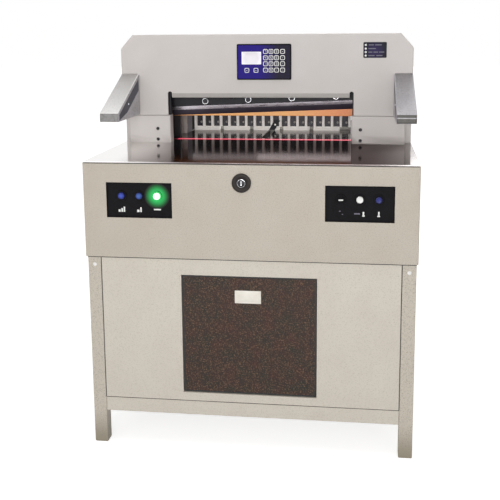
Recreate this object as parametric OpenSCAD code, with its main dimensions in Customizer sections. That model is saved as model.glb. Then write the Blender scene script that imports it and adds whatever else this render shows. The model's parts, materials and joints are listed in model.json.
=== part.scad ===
// Floor-standing hydraulic paper cutter: a steel cabinet, a polished table,
// a knife that swings down in a slanted guide, a clamp and a back gauge.
// +Z is up, the front faces -Y, the origin is on the floor under the middle.

/* [Overall] */
// Width of the throat between the lower covers
throat_w = 673; // [560:1:800]
// Width of the lower cover left of the throat
left_cover_w = 158; // [145:1:200]
// Width of the lower cover right of the throat
right_cover_w = 193; // [175:1:230]
// Hood showing outside each lower cover
side_strip = 25; // [15:1:40]
// Step from the apron's ends in to the hood
hood_inset = 3; // [1:0.5:10]
// Height of the polished table above the floor
table_z = 973; // [920:1:1000]
// Table from its front edge to the front of the hood
table_front = 480; // [450:1:485]
// Front of the hood to the cutting line
cut_setback = 117; // [110:1:125]
// Table behind the cutting line
rear_reach = 731; // [700:1:780]
// Thickness of the sheet metal
sheet_t = 2; // [1.5:0.1:2.5]
// Seam left between neighbouring sheets
seam = 1; // [0.5:0.1:2]
// Side play of flat sliding faces
slide_play = 0.2; // [0.1:0.05:0.4]
// Radial play of turning and sliding shafts
shaft_play = 0.05; // [0.02:0.01:0.08]

/* [Cabinet] */
// Side of the square legs
leg_w = 45; // [38:1:52]
// Wall of the legs
leg_wall = 3; // [2:0.5:5]
// Step from the apron's faces in to the legs
leg_inset = 5; // [3.5:0.5:10]
// Depth over the front and rear legs
cabinet_d = 853; // [820:1:880]
// Floor to the bottom rails
rail_lift = 115; // [85:1:135]
// Height of the bottom rails
rail_h = 50; // [40:1:60]
// Height of the apron
apron_h = 317; // [300:1:340]
// Table edge left showing above the apron
table_reveal = 4; // [2:0.5:6]
// Thickness of the floor pan
pan_t = 3; // [2:0.5:5]
// Bore of the holes in the front legs
leg_hole_d = 13; // [10:0.5:16]
// Apron's lower edge down to the leg holes
leg_hole_drop = 28; // [20:1:40]

/* [Access door] */
// Width of the door opening
door_w = 444; // [400:1:480]
// Apron down to the door opening
door_head = 56; // [40:1:90]
// Bottom rail up to the opening
door_sill = 29; // [15:1:40]
// Gap round the door
door_gap = 1.5; // [1.3:0.1:3]
// Front panel back to the door's face
door_recess = 6; // [4:0.5:8]
// Depth of the door's folded edge
door_t = 18; // [16:0.5:24]
// Depth of the frame folded back round the opening
jamb_d = 30; // [28:1:45]
// Diameter of the hinge pins
hinge_pin_d = 6; // [5:0.5:6.5]
// Door's left edge in to the hinge line
hinge_in = 9; // [8.5:0.5:11]
// Door's face back to the hinge line
hinge_back = 4.5; // [4:0.5:5]

/* [Table] */
// Thickness of the polished plates
table_t = 12; // [10:1:16]
// Thickness of the bed casting
bed_t = 50; // [40:1:60]
// Thickness of the bed behind the cabinet
bed_tail_t = 30; // [24:1:36]
// Width of the cutting stick
stick_w = 11; // [9:0.5:14]
// Cutting stick past the side frames' inner edges
stick_past = 60; // [30:1:90]
// Depth of the cutting stick
stick_h = 11; // [9:0.5:12]
// Table down to the top of the stick
stick_dip = 1; // [0.8:0.1:2]
// Width of the slot in the rear table
slot_w = 25; // [20:1:32]
// Cutting line back to the start of that slot
slot_setback = 36; // [30:1:45]
// Rear table beyond the throat on each side
tail_margin = 12; // [0:1:30]
// Throat's sides in to the bed behind the cabinet
tail_step = 30; // [10:1:60]
// Width of the ribs under that bed
tail_rib_w = 45; // [30:1:60]
// Rear table past the end of that bed
tail_inset = 2; // [1:0.5:6]
// Play of the rods in the polished plates
plate_room = 1; // [0.5:0.1:2]

/* [Hood] */
// Depth of the hood
hood_d = 290; // [280:1:310]
// Hood's top above the table
hood_rise = 400; // [390:1:440]
// Width of the slanted top corners
corner_w = 45; // [35:1:50]
// Height of the slanted top corners
corner_h = 50; // [40:1:50]
// Table up to the hood's lower edge over the throat
bridge_lift = 169; // [160:1:185]
// Depth of the fold along that edge
bridge_fold = 20; // [12:1:24]
// Width of the round-topped reliefs beside the bridge
relief_w = 15; // [10:1:20]
// Height of the reliefs
relief_h = 23; // [16:1:30]
// Height of the lower covers
cover_h = 104; // [90:1:110]
// Depth of the lower covers
cover_d = 45; // [40:1:60]
// Side frames in front of the covers' upper fold
fold_gap = 2; // [1:0.5:4]
// Table up to the lower edge of the back cover
back_gap = 130; // [122:1:150]
// Gap between the gauge and the back cover beside it
rear_room = 4; // [2:0.5:8]
// Lips beside the passage, behind the hood
back_lip = 95; // [60:1:110]

/* [Throat] */
// Diameter of the cover screws' heads
cover_screw_d = 12; // [10:0.5:14]
// Height of their heads
cover_head_h = 3; // [2:0.5:5]
// Width of the sockets in their heads
cover_socket_d = 6; // [4:0.5:8]
// Diameter of their shanks
cover_shank_d = 6; // [5:0.5:8]
// Throat's left edge to the left cover's screws
left_screw_in = 49; // [35:1:60]
// Throat's right edge to the right cover's screws
right_screw_in = 33; // [26:1:36]
// Table up to the lower and the upper screws
screw_lifts = [13, 53];

/* [Side frames] */
// Front of the hood back to the frames
frame_setback = 28; // [26:1:32]
// Thickness of the frames' front plates
frame_front_t = 25; // [20:1:26]
// Thickness of the frames' rear plates
frame_rear_t = 25; // [20:1:30]
// Thickness of the frames' outer webs
web_t = 25; // [18:1:26]
// Lower covers in to the frames' outer webs
web_room = 5; // [3:0.5:12]
// Throat's edges out to the frames
frame_room = 1; // [0.5:0.5:3]
// Clamp back to the rear plates
clamp_room = 7; // [4:0.5:15]
// Height of the beam across the frames
beam_h = 36; // [25:1:50]
// Beam up to the hood's top
beam_room = 39; // [20:1:60]

/* [Knife] */
// Drop of the knife
knife_drop = 124; // [105:1:125]
// Shift of the knife to the left while it drops
knife_swing = 36; // [25:1:40]
// Tilt of the raised knife in degrees
knife_tilt = 2.23; // [1.5:0.01:2.5]
// Lowered edge's height above the cutting stick
edge_gap = 0.3; // [0.2:0.1:0.5]
// Thickness of the blade
blade_t = 9; // [8:0.5:12]
// Height of the blade
blade_h = 100; // [85:1:120]
// Height of the ground bevel
bevel_h = 21; // [16:1:24]
// Edge up to the knife bar
blade_show = 36; // [26:1:38]
// Blade past the throat at each end
blade_over = 2; // [1:0.5:5]
// Blade further past the throat at its left end
blade_tail = 18; // [0:1:22]
// Depth of the knife bar
bar_d = 28; // [24:1:29]
// Height of the knife bar
bar_h = 150; // [130:1:160]
// Diameter of the knife bolts' heads
knife_bolt_d = 25; // [20:1:28]
// Diameter of the knife bolts' shanks
knife_shank_d = 12; // [10:1:14]
// Height of the knife bolts' heads
knife_bolt_h = 8; // [6:0.5:10]
// Number of knife bolts
knife_bolts_n = 4; // [2:1:6]
// Knife bolts short of the blade's back
shank_short = 1; // [0.5:0.5:4]
// Spacing of the knife bolts
knife_bolt_pitch = 165; // [120:1:190]
// Lower edge of the bar up to the bolts
knife_bolt_lift = 17; // [14:1:24]
// Raised bolts' middle, right of the throat's middle
knife_bolt_shift = 29; // [0:1:40]
// Width of the slider that carries the knife
slider_w = 50; // [44:1:54]
// Height of that slider
slider_h = 80; // [70:1:84]
// Right web in to the raised slider
slider_room = 2; // [1:0.5:6]
// Gap before and behind the slider and the roller
slider_gap = 1; // [0.5:0.1:2]
// Guide left above the raised slider
slot_room = 4; // [2:0.5:10]
// Table up to the pivot when the knife is down
pivot_lift = 80; // [76:1:90]
// Diameter of the pivot
pivot_d = 30; // [24:1:34]
// Knife bar past the pivot's bore
pivot_margin = 10; // [6:1:14]
// Diameter of the roller at the left end
roller_d = 36; // [30:1:40]
// Left web in to the lowered roller
roller_room = 22; // [12:1:30]
// Diameter of the roller's pin
roller_pin_d = 20; // [16:1:22]
// Diameter of the knife cylinder's rod
knife_rod_d = 26; // [22:1:28]
// Room round that rod in the bed
rod_room = 4; // [2:0.5:6]
// Diameter of its piston
knife_piston_d = 50; // [44:1:54]
// Width of the knife cylinder's foot
foot_w = 130; // [110:1:150]
// Height of that foot
foot_h = 40; // [30:1:50]
// Foot past the barrel at the front and back
foot_side = 8; // [4:1:14]
// Bed down to the barrel's nearest edge
bed_gap = 2; // [1:0.5:6]

/* [Clamp] */
// Table up to the raised clamp
clamp_lift = 91; // [70:1:94]
// Depth of the clamp
clamp_d = 58; // [50:1:60]
// Height of the clamp
clamp_h = 120; // [100:1:140]
// Gap between the knife and the clamp
clamp_gap = 1; // [0.6:0.1:1.5]
// Outer webs in to the clamp's ends
clamp_side = 4; // [2:0.5:8]
// Height left under the lowered clamp
clamp_rest = 0.5; // [0.3:0.1:1]
// Diameter of the pull rods
pull_rod_d = 25; // [20:1:28]
// Outer webs in to the pull rods
pull_rod_in = 40; // [32:1:45]
// Pull rods up into the clamp
pull_rod_seat = 60; // [40:1:80]
// Diameter of the clamp cylinder's rod
clamp_rod_d = 32; // [26:1:36]
// Diameter of its piston
clamp_piston_d = 64; // [56:1:66]
// Height of the crosshead
crosshead_h = 46; // [36:1:50]
// Depth of the crosshead
crosshead_d = 50; // [40:1:56]

/* [Cylinders] */
// Wall of both cylinders
cylinder_wall = 9; // [6:0.5:12]
// Length of both glands
gland_l = 22; // [18:1:28]
// Thickness of both pistons
piston_t = 20; // [16:1:26]
// Room left at both ends of the stroke
stroke_room = 8; // [5:1:12]
// Thickness of the closed ends
cylinder_end = 15; // [10:1:20]

/* [Back gauge] */
// Cutting line back to the gauge
gauge_set = 300; // [230:1:320]
// Height of the gauge
gauge_h = 105; // [90:1:112]
// Depth of the comb's bars
comb_d = 30; // [24:1:36]
// Width of a comb bar
comb_bar = 10; // [8:0.5:14]
// Spacing of the comb bars
comb_pitch = 36; // [30:1:44]
// Least gap between the comb and the throat's sides
comb_side = 7; // [6:1:40]
// Comb bars along each of the light pads
pad_bars = 3; // [2:1:6]
// Height of the light pads under the comb
pad_h = 15; // [10:1:20]
// Table up to the gauge
gauge_float = 0.3; // [0.2:0.1:0.5]
// Thickness of the gauge's beam
gauge_beam_t = 14; // [10:1:18]
// Length of the nut
nut_l = 36; // [30:1:40]
// Side of the nut block
nut_w = 44; // [36:1:50]
// Room round the nut in the rear panel
nut_room = 15; // [8:1:25]
// Play of the carriage's neck in the table's slot
neck_play = 1.2; // [0.6:0.1:2.5]
// Gauge's front back to the middle of the nut
nut_back = 55; // [50:1:58]
// Diameter of the lead screw
screw_d = 20; // [16:1:24]
// Bed down to the lead screw
screw_drop = 40; // [36:1:50]
// Thickness of the screw's bearing blocks
bearing_t = 20; // [16:1:22]
// Clamp cylinder back to the front bearing
bearing_gap = 3; // [2:0.5:8]
// Front bearing's face in to the screw's end
screw_inset = 2; // [1:0.5:6]
// Width of the bearing blocks
bearing_w = 60; // [50:1:80]
// Diameter of both pulleys
pulley_d = 48; // [40:1:56]
// Width of both pulleys
pulley_t = 10; // [8:0.5:12]
// Pulleys back from the bearing and the motor
pulley_gap = 4; // [2:0.5:8]
// Lead screw down to the motor's shaft
motor_drop = 95; // [90:1:120]
// Side of the gauge motor
motor_w = 86; // [70:1:90]
// Length of the gauge motor
motor_l = 110; // [80:1:130]
// Diameter of the gauge motor's shaft
motor_shaft_d = 14; // [10:1:18]
// Thickness of the gauge motor's bracket
bracket_t = 6; // [4:0.5:10]
// Rear bearing over to that bracket
bracket_gap = 1; // [0.5:0.5:4]
// Thickness of the belt
belt_t = 2; // [1.5:0.1:3]
// Belt's play round the pulleys
belt_gap = 0.3; // [0.2:0.1:0.5]
// Pulley showing on each side of the belt
belt_in = 1; // [0.5:0.1:2]

/* [Guard arms] */
// Width of the guard arms
arm_w = 67; // [55:1:75]
// Reach of the guard arms in front of the hood
arm_reach = 290; // [260:1:320]
// Table up to the top of the arms at the hood
arm_root_top = 258; // [245:1:275]
// Lower covers up to the bottom of the arms
arm_seam = 2; // [1:0.5:12]
// Table up to the top of the arms' tips
arm_tip_top = 137; // [130:1:150]
// Table up to the bottom of the arms' tips
arm_tip_low = 106; // [100:1:112]
// Wall of the guard arms
arm_wall = 4; // [3:0.5:6]
// Width of the guard windows
window_w = 42; // [30:1:46]
// Depth of the guard windows
window_t = 2.5; // [1.5:0.1:2.8]
// Hood to the start of the guard windows
window_start = 12; // [6:1:30]
// Guard windows short of the arms' tips
window_tip = 16; // [8:1:30]
// Arms' tops down to the guard windows
window_down = 14; // [8:1:18]
// Arms' bottoms up to the windows at the tips
window_sill = 5; // [3:0.5:8]
// Share of the windows' length that has their full width
window_full = 0.62; // [0.4:0.01:0.8]

/* [Controls] */
// Width of the keypad
keypad_w = 200; // [170:1:230]
// Height of the keypad
keypad_h = 130; // [110:1:140]
// Hood's top down to the keypad
keypad_drop = 35; // [20:1:60]
// Thickness of the keypad
keypad_t = 5; // [3:0.5:7]
// Width of the display
lcd_w = 72; // [60:1:80]
// Height of the display
lcd_h = 46; // [36:1:52]
// Keypad's left edge to the display
lcd_in = 18; // [12:1:26]
// Keypad's lower edge to the display
lcd_up = 56; // [48:1:66]
// Depth of the display
lcd_t = 3; // [2:0.5:3]
// Width of a button panel
panel_w = 217; // [200:1:224]
// Height of a button panel
panel_h = 116; // [100:1:120]
// Front legs in to the button panels
panel_leg_gap = 27; // [8:1:60]
// Table down to the button panels
panel_drop = 68; // [64:1:80]
// Apron back to the floor of a button panel
panel_recess = 6; // [4:0.5:10]
// Thickness of that floor
panel_t = 3; // [2:0.5:4]
// Spacing of the buttons
button_pitch = 59; // [50:1:66]
// Button panel's top down to the buttons
button_drop = 44; // [34:1:52]
// Diameter of the buttons
button_d = 22; // [18:1:24]
// Diameter of the collars round the buttons
collar_d = 33; // [30:1:38]
// Height of the collars
collar_h = 4; // [3:0.5:5]
// Button cap past its collar
button_show = 4; // [3.5:0.5:6]
// Radius of the buttons' rims
button_rim = 2; // [1:0.1:3]
// Travel of the buttons
button_travel = 3; // [2:0.5:3]
// Length of the switch cups behind the panels
cup_l = 28; // [22:1:34]
// Room behind a pressed button
stem_room = 1; // [0.5:0.5:3]
// Room behind the cups, up to the bed
panel_room = 28; // [15:1:40]
// Selector's lever in front of the apron
lever_show = 8; // [6:0.5:12]
// Width of that lever
lever_w = 7; // [5:0.5:9]
// Selector's rim in to the ends of the lever
lever_step = 1.5; // [1:0.1:3]
// Diameter of the lock's round plate
lock_plate_d = 62; // [52:1:66]
// Thickness of that plate
lock_plate_t = 6; // [4:0.5:8]
// Diameter of the lock's plug
lock_d = 27; // [22:1:30]
// Lock's plug past its plate
lock_show = 2; // [1:0.5:4]
// Length of the lock's plug
lock_l = 34; // [28:1:40]
// Step down to the lock's plug behind the apron
lock_step = 1; // [0.5:0.1:2]
// Width of the keyhole
key_w = 2.5; // [2:0.1:4]
// Height of the keyhole
key_h = 12; // [9:0.5:16]
// Depth of the keyhole
key_deep = 10; // [6:0.5:20]
// Lock left of the machine's middle
lock_shift = 19; // [0:1:25]
// Table down to the lock
lock_drop = 64; // [52:1:66]

/* [Hydraulic unit] */
// Width of the oil tank
tank_w = 420; // [360:1:460]
// Depth of the oil tank
tank_d = 280; // [240:1:300]
// Height of the oil tank
tank_h = 220; // [180:1:240]
// Wall of the oil tank
tank_wall = 4; // [3:0.5:6]
// Tank behind the cabinet's middle
tank_back = 40; // [0:1:60]
// Diameter of the pump motor
pump_motor_d = 150; // [120:1:160]
// Length of the pump motor
pump_motor_l = 210; // [180:1:220]
// Tank's left end in to the pump motor
pump_motor_in = 35; // [20:1:50]
// Tank up to the pump motor
pump_motor_lift = 12; // [8:1:30]
// Thickness of the pump motor's feet
motor_foot = 24; // [16:1:32]
// Side of the pump motor's terminal box
motor_box = 60; // [50:1:80]
// Terminal box in front of the pump motor
motor_box_d = 24; // [16:1:32]
// Length of the pump
pump_l = 90; // [70:1:100]
// Side of the pump
pump_w = 80; // [70:1:96]
// Width of the valve block
valve_w = 110; // [90:1:120]
// Height of the valve block
valve_h = 70; // [60:1:90]
// Tank's edges in to the valve block
valve_in = 10; // [6:1:20]
// Diameter of the valve coils
coil_d = 30; // [24:1:34]
// Height of the valve coils
coil_l = 50; // [40:1:60]
// Diameter of the oil pipes
pipe_d = 12; // [10:0.5:14]
// Pipe ends set into the round of the cylinders
pipe_seat = 1; // [0.8:0.1:2]

/* [Hidden] */
$fn = 64;
eps = 0.5;
big = 3000;

// Widths
hood_w = left_cover_w + throat_w + right_cover_w + 2 * side_strip;
machine_w = hood_w + 2 * hood_inset;

// Planes of the machine from front to back, with the lock and the lever standing proud in front
lock_proud = lock_plate_t + lock_show;
depth = table_front + cut_setback + rear_reach;
front_y = -(depth - max(lock_proud, lever_show)) / 2;
rear_y = front_y + depth;
hood_y = front_y + table_front;
hood_back_y = hood_y + hood_d;
cut_y = hood_y + cut_setback;
panel_y = front_y + leg_inset;
cabinet_back_y = panel_y + cabinet_d;

// Heights
apron_z = table_z - apron_h;
apron_top_z = table_z - table_reveal;
bed_top_z = table_z - table_t;
bed_z = bed_top_z - bed_t;
rail_top_z = rail_lift + rail_h;
pan_top_z = rail_top_z + pan_t;
hood_top_z = table_z + hood_rise;
seam_z = table_z + cover_h;
bridge_z = table_z + bridge_lift;

// Cabinet
leg_out = machine_w / 2 - leg_inset;
leg_in = leg_out - leg_w;
plate_half = machine_w / 2 - sheet_t - slide_play;
bed_half = leg_out;
door_z = rail_top_z + door_sill;
door_h = apron_z - door_head - door_z;
door_face_y = panel_y + door_recess;
hinge_x = -door_w / 2 + door_gap + hinge_in;
hinge_y = door_face_y + hinge_back;
hinge_boss = 2 * hinge_in;
hinge_boss_h = 20;
pin_proud = 6;
pin_seat = 14;

// Throat and side frames
cover_out = hood_w / 2 - side_strip;
throat_l = -cover_out + left_cover_w;
throat_r = cover_out - right_cover_w;
throat_x = (throat_l + throat_r) / 2;
web_out = cover_out - sheet_t - web_room;
web_in = web_out - web_t;
frame_step = sheet_t + frame_room;
frame_l = throat_l - frame_step;
frame_r = throat_r + frame_step;
frame_y = hood_y + frame_setback;
frame_front_back_y = frame_y + frame_front_t;
rear_plate_y = cut_y + clamp_gap + clamp_d + clamp_room;
frame_back_y = rear_plate_y + frame_rear_t;
frame_h = hood_rise - beam_h - beam_room;
stick_l = frame_l - stick_past;
stick_r = frame_r + stick_past;

// Knife: the bar lies in front of the blade, the blade's back is the cutting plane
blade_y = cut_y - blade_t;
bar_y = blade_y - bar_d;
edge_z = table_z - stick_dip + edge_gap;
slide_angle = atan2(knife_swing, knife_drop);
slide_l = sqrt(knife_swing * knife_swing + knife_drop * knife_drop);
slider_reach = slider_w / 2 * cos(slide_angle) + slider_h / 2 * sin(slide_angle);
pivot_up_x = web_in - slider_reach - slider_room;
pivot_down_x = pivot_up_x - knife_swing;
pivot_down_z = table_z + pivot_lift;
pivot_up_z = pivot_down_z + knife_drop;
slider_y = frame_y + slider_gap;
slider_back_y = bar_y - slider_gap;
roller_down_x = -web_in + roller_d / 2 + roller_room;
roller_arm = pivot_down_x - roller_down_x;
roller_up_x = pivot_up_x - roller_arm * cos(knife_tilt);
roller_up_z = pivot_up_z - roller_arm * sin(knife_tilt);
roller_play = 0.4;
blade_l_x = throat_l - blade_over - blade_tail - knife_swing;
blade_r_x = throat_r + blade_over;
knife_bolt_x = throat_x - knife_swing + knife_bolt_shift;
edge_flat = 0.4;

// Knife cylinder, measured down the slide from the raised pivot
knife_bore_d = knife_piston_d + 2 * shaft_play;
knife_barrel_d = knife_bore_d + 2 * cylinder_wall;
barrel_drop = knife_barrel_d / 2 * sin(slide_angle) + bed_gap;
barrel_start = (pivot_up_z - bed_z + barrel_drop) / cos(slide_angle);
knife_piston_start = barrel_start + gland_l + stroke_room;
knife_chamber = piston_t + slide_l + 2 * stroke_room;
knife_barrel_l = gland_l + knife_chamber + cylinder_end;
rod_axis_y = (slider_y + slider_back_y) / 2;
rod_hole_d = knife_rod_d + 2 * rod_room;

// Clamp
clamp_y = cut_y + clamp_gap;
clamp_mid_y = clamp_y + clamp_d / 2;
clamp_z = table_z + clamp_lift;
clamp_travel = clamp_lift - clamp_rest;
clamp_half = web_in - clamp_side;
pull_rod_x = web_in - pull_rod_in;
clamp_bore_d = clamp_piston_d + 2 * shaft_play;
clamp_barrel_d = clamp_bore_d + 2 * cylinder_wall;
clamp_chamber = piston_t + clamp_travel + 2 * stroke_room;
clamp_barrel_l = cylinder_end + clamp_chamber + gland_l;
clamp_barrel_z = bed_z - clamp_barrel_l;
crosshead_top_z = clamp_barrel_z - stroke_room;
crosshead_half = pull_rod_x + pull_rod_d;

// Back gauge
gauge_y = cut_y + gauge_set;
gauge_z = table_z + gauge_float;
gauge_back_y = gauge_y + comb_d + gauge_beam_t;
comb_n = floor((throat_w - 2 * comb_side - comb_bar) / comb_pitch) + 1;
comb_half = ((comb_n - 1) * comb_pitch + comb_bar) / 2;
rear_half = comb_half + rear_room;
nut_y = gauge_y + nut_back;
screw_z = bed_z - screw_drop;
neck_w = slot_w - 2 * neck_play;
front_bearing_y = clamp_mid_y + clamp_barrel_d / 2 + bearing_gap;
screw_start_y = front_bearing_y + screw_inset;
tail_y = rear_y - tail_inset;
pulley_y = tail_y - pulley_t;
rear_bearing_y = pulley_y - pulley_gap - bearing_t;
motor_y = pulley_y - pulley_gap;
motor_z = screw_z - motor_drop;
bracket_x = throat_x + bearing_w / 2 + bracket_gap;
bed_tail_l = throat_l + tail_step;
bed_tail_r = throat_r - tail_step;
bed_tail_z = bed_top_z - bed_tail_t;

// Controls
panel_top_z = table_z - panel_drop;
button_z = panel_top_z - button_drop;
panel_mid = leg_in - panel_leg_gap - panel_w / 2;
panel_floor_y = front_y + panel_recess;
panel_back_y = panel_floor_y + panel_t;
collar_y = panel_floor_y - collar_h;
cap_y = collar_y - button_show;
button_play = 0.3;
stem_end_y = panel_back_y + cup_l - panel_t - button_travel - stem_room;
bed_notch_y = panel_back_y + cup_l + panel_room;
lock_x = -lock_shift;
lock_z = table_z - lock_drop;
keypad_z = hood_top_z - keypad_drop - keypad_h;

// Guard arms
arm_out = hood_w / 2;
arm_root_low = cover_h + arm_seam;
arm_slope = (arm_root_top - arm_tip_top) / arm_reach;
arm_floor_slope = (arm_tip_low - arm_root_low) / arm_reach;
window_end = arm_reach - window_tip;
window_bend = window_start + (window_end - window_start) * window_full;

// Hydraulic unit
tank_y = (panel_y + cabinet_back_y) / 2 + tank_back;
tank_top_z = pan_top_z + tank_h;
pump_motor_x = -tank_w / 2 + pump_motor_in + pump_motor_l / 2;
pump_motor_z = tank_top_z + pump_motor_d / 2 + pump_motor_lift;
pump_x = pump_motor_x + pump_motor_l / 2;
valve_x = tank_w / 2 - valve_w / 2 - valve_in;
valve_y = tank_y - tank_d / 2 + valve_in;
valve_top_z = tank_top_z + valve_h;
pipe_y = valve_y + valve_h - pipe_d;

// A box given by its lowest and highest corners
module block(x0, x1, y0, y1, z0, z1)
    translate([x0, y0, z0]) cube([x1 - x0, y1 - y0, z1 - z0]);

// A round bar along +Y from a point
module bar_y(d, x, y0, y1, z)
    translate([x, y0, z]) rotate([-90, 0, 0]) cylinder(d = d, h = y1 - y0);

// A round bar along +X
module bar_x(d, x0, x1, y, z)
    translate([x0, y, z]) rotate([0, 90, 0]) cylinder(d = d, h = x1 - x0);

// A round bar along +Z
module bar_z(d, x, y, z0, z1)
    translate([x, y, z0]) cylinder(d = d, h = z1 - z0);

// A profile drawn in X and Z, carried along +Y
module plate_xz(y0, y1)
    translate([0, y1, 0]) rotate([90, 0, 0]) linear_extrude(y1 - y0) children();

// A profile drawn in Y and Z, carried along +X
module plate_yz(x0, x1)
    translate([x0, 0, 0]) rotate([90, 0, 90]) linear_extrude(x1 - x0) children();

// Places a piece of the lowered knife where the raised knife holds it
module raise_knife()
    translate([pivot_up_x, 0, pivot_up_z])
        rotate([0, -knife_tilt, 0])
            translate([-pivot_down_x, 0, -pivot_down_z])
                children();

// Local +Z runs up the slanted guide from the raised pivot
module on_slide(y)
    translate([pivot_up_x, y, pivot_up_z]) rotate([0, slide_angle, 0]) children();

// Cabinet

module leg(side, y0)
    translate([side * (leg_in + leg_w / 2), y0 + leg_w / 2, 0])
        difference() {
            translate([-leg_w / 2, -leg_w / 2, 0]) cube([leg_w, leg_w, bed_z]);
            translate([-leg_w / 2 + leg_wall, -leg_w / 2 + leg_wall, leg_wall])
                cube([leg_w - 2 * leg_wall, leg_w - 2 * leg_wall, bed_z]);
        }

module front_legs() color("#cbc3b8")
    difference() {
        for (side = [-1, 1]) leg(side, panel_y);
        for (side = [-1, 1])
            bar_y(leg_hole_d, side * (leg_in + leg_w / 2), panel_y - eps,
                  panel_y + leg_wall + eps, apron_z - leg_hole_drop);
    }

module rear_legs() color("#cbc3b8")
    for (side = [-1, 1]) leg(side, cabinet_back_y - leg_w);

module bottom_rails() color("#cbc3b8") {
    for (y = [panel_y, cabinet_back_y - leg_w])
        block(-leg_in, leg_in, y, y + leg_w, rail_lift, rail_top_z);
    for (side = [-1, 1])
        translate([side * (leg_in + leg_w / 2), 0, 0])
            block(-leg_w / 2, leg_w / 2, panel_y + leg_w, cabinet_back_y - leg_w, rail_lift, rail_top_z);
}

module floor_pan() color("#8d8a86")
    block(-leg_in, leg_in, panel_y + sheet_t, cabinet_back_y - sheet_t, rail_top_z, pan_top_z);

module door_opening(grow, y0, y1)
    block(-door_w / 2 - grow, door_w / 2 + grow, y0, y1, door_z - grow, door_z + door_h + grow);

module front_panel() color("#cbc3b8")
    difference() {
        union() {
            block(-leg_in, leg_in, panel_y, panel_y + sheet_t, rail_top_z, apron_z - seam);
            door_opening(sheet_t, panel_y, panel_y + jamb_d);
        }
        door_opening(0, panel_y - eps, panel_y + jamb_d + eps);
        bar_z(hinge_pin_d, hinge_x, hinge_y, door_z - sheet_t - eps, door_z + door_h + sheet_t + eps);
    }

module door_pins() color("#a8a8a8")
    for (z = [door_z - sheet_t - pin_proud, door_z + door_h - pin_seat])
        bar_z(hinge_pin_d, hinge_x, hinge_y, z, z + sheet_t + pin_proud + pin_seat);

module access_door() color("#463a35") {
    x0 = -door_w / 2 + door_gap;
    z0 = door_z + door_gap;
    z1 = door_z + door_h - door_gap;
    difference() {
        union() {
            difference() {
                block(x0, -x0, door_face_y, door_face_y + door_t, z0, z1);
                block(x0 + sheet_t, -x0 - sheet_t, door_face_y + sheet_t, door_face_y + door_t + eps,
                      z0 + sheet_t, z1 - sheet_t);
            }
            for (z = [z0, z1 - hinge_boss_h])
                block(x0, x0 + hinge_boss, door_face_y, door_face_y + door_t, z, z + hinge_boss_h);
        }
        bar_z(hinge_pin_d + 2 * shaft_play, hinge_x, hinge_y, z0 - eps, z1 + eps);
    }
}

module side_panel(side)
    color("#cbc3b8")
    translate([side * (leg_out - sheet_t / 2), 0, 0])
        block(-sheet_t / 2, sheet_t / 2, panel_y + leg_w, cabinet_back_y - leg_w, rail_top_z, apron_z);

module left_side_panel() side_panel(-1);

module right_side_panel() side_panel(1);

module rear_panel() color("#cbc3b8")
    difference() {
        block(-leg_in, leg_in, cabinet_back_y - sheet_t, cabinet_back_y, rail_top_z, bed_z);
        block(throat_x - nut_w / 2 - nut_room, throat_x + nut_w / 2 + nut_room,
              cabinet_back_y - sheet_t - eps, cabinet_back_y + eps,
              screw_z - nut_w / 2 - nut_room, bed_z + eps);
    }

module apron() color("#bfb7ab")
    difference() {
        block(-machine_w / 2, machine_w / 2, front_y, cabinet_back_y, apron_z, apron_top_z);
        block(-machine_w / 2 + sheet_t, machine_w / 2 - sheet_t, front_y + sheet_t, big,
              apron_z + sheet_t, big);
        block(-leg_out, leg_out, panel_y, big, apron_z - eps, big);
        for (side = [-1, 1])
            translate([side * panel_mid, 0, 0])
                block(-panel_w / 2, panel_w / 2, front_y - eps, front_y + sheet_t + eps,
                      panel_top_z - panel_h, panel_top_z);
        bar_y(lock_d, lock_x, front_y - eps, front_y + sheet_t + eps, lock_z);
    }

// Table and bed

module rod_holes(extra) {
    for (side = [-1, 1])
        bar_z(pull_rod_d + 2 * extra, side * pull_rod_x, clamp_mid_y, bed_z - eps, table_z + eps);
    on_slide(rod_axis_y) translate([0, 0, -barrel_start]) cylinder(d = rod_hole_d, h = barrel_start);
}

module bed_casting() color("#6f7274")
    difference() {
        union() {
            block(-bed_half, bed_half, panel_y, cabinet_back_y, bed_z, bed_top_z);
            block(bed_tail_l, bed_tail_r, cabinet_back_y - eps, tail_y, bed_tail_z, bed_top_z);
            for (x = [bed_tail_l, bed_tail_r - tail_rib_w])
                block(x, x + tail_rib_w, cabinet_back_y - eps, tail_y, bed_z, bed_top_z);
        }
        block(-leg_in, leg_in, panel_y - eps, bed_notch_y, bed_z - eps, bed_top_z + eps);
        block(throat_x - slot_w / 2, throat_x + slot_w / 2, cut_y + slot_setback, rear_bearing_y,
              bed_z - eps, bed_top_z + eps);
        block(stick_l, stick_r, cut_y - stick_w / 2, cut_y + stick_w / 2,
              table_z - stick_dip - stick_h, bed_top_z + eps);
        rod_holes(shaft_play);
    }

module front_table() color("#d8d8d6")
    difference() {
        block(-plate_half, plate_half, front_y + sheet_t + slide_play, cut_y - stick_w / 2,
              bed_top_z, table_z);
        rod_holes(plate_room);
    }

module rear_table() color("#d8d8d6")
    difference() {
        union() {
            block(-plate_half, plate_half, cut_y - stick_w / 2, cabinet_back_y, bed_top_z, table_z);
            block(throat_l - tail_margin, throat_r + tail_margin, cabinet_back_y - eps, rear_y,
                  bed_top_z, table_z);
        }
        block(stick_l, stick_r, cut_y - stick_w / 2 - eps, cut_y + stick_w / 2,
              bed_top_z - eps, table_z + eps);
        block(throat_x - slot_w / 2, throat_x + slot_w / 2, cut_y + slot_setback, rear_bearing_y,
              bed_top_z - eps, table_z + eps);
        rod_holes(plate_room);
    }

module cutting_stick() color("#e0405f")
    block(stick_l, stick_r, cut_y - stick_w / 2, cut_y + stick_w / 2,
          table_z - stick_dip - stick_h, table_z - stick_dip);

// Frames beside the throat

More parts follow.
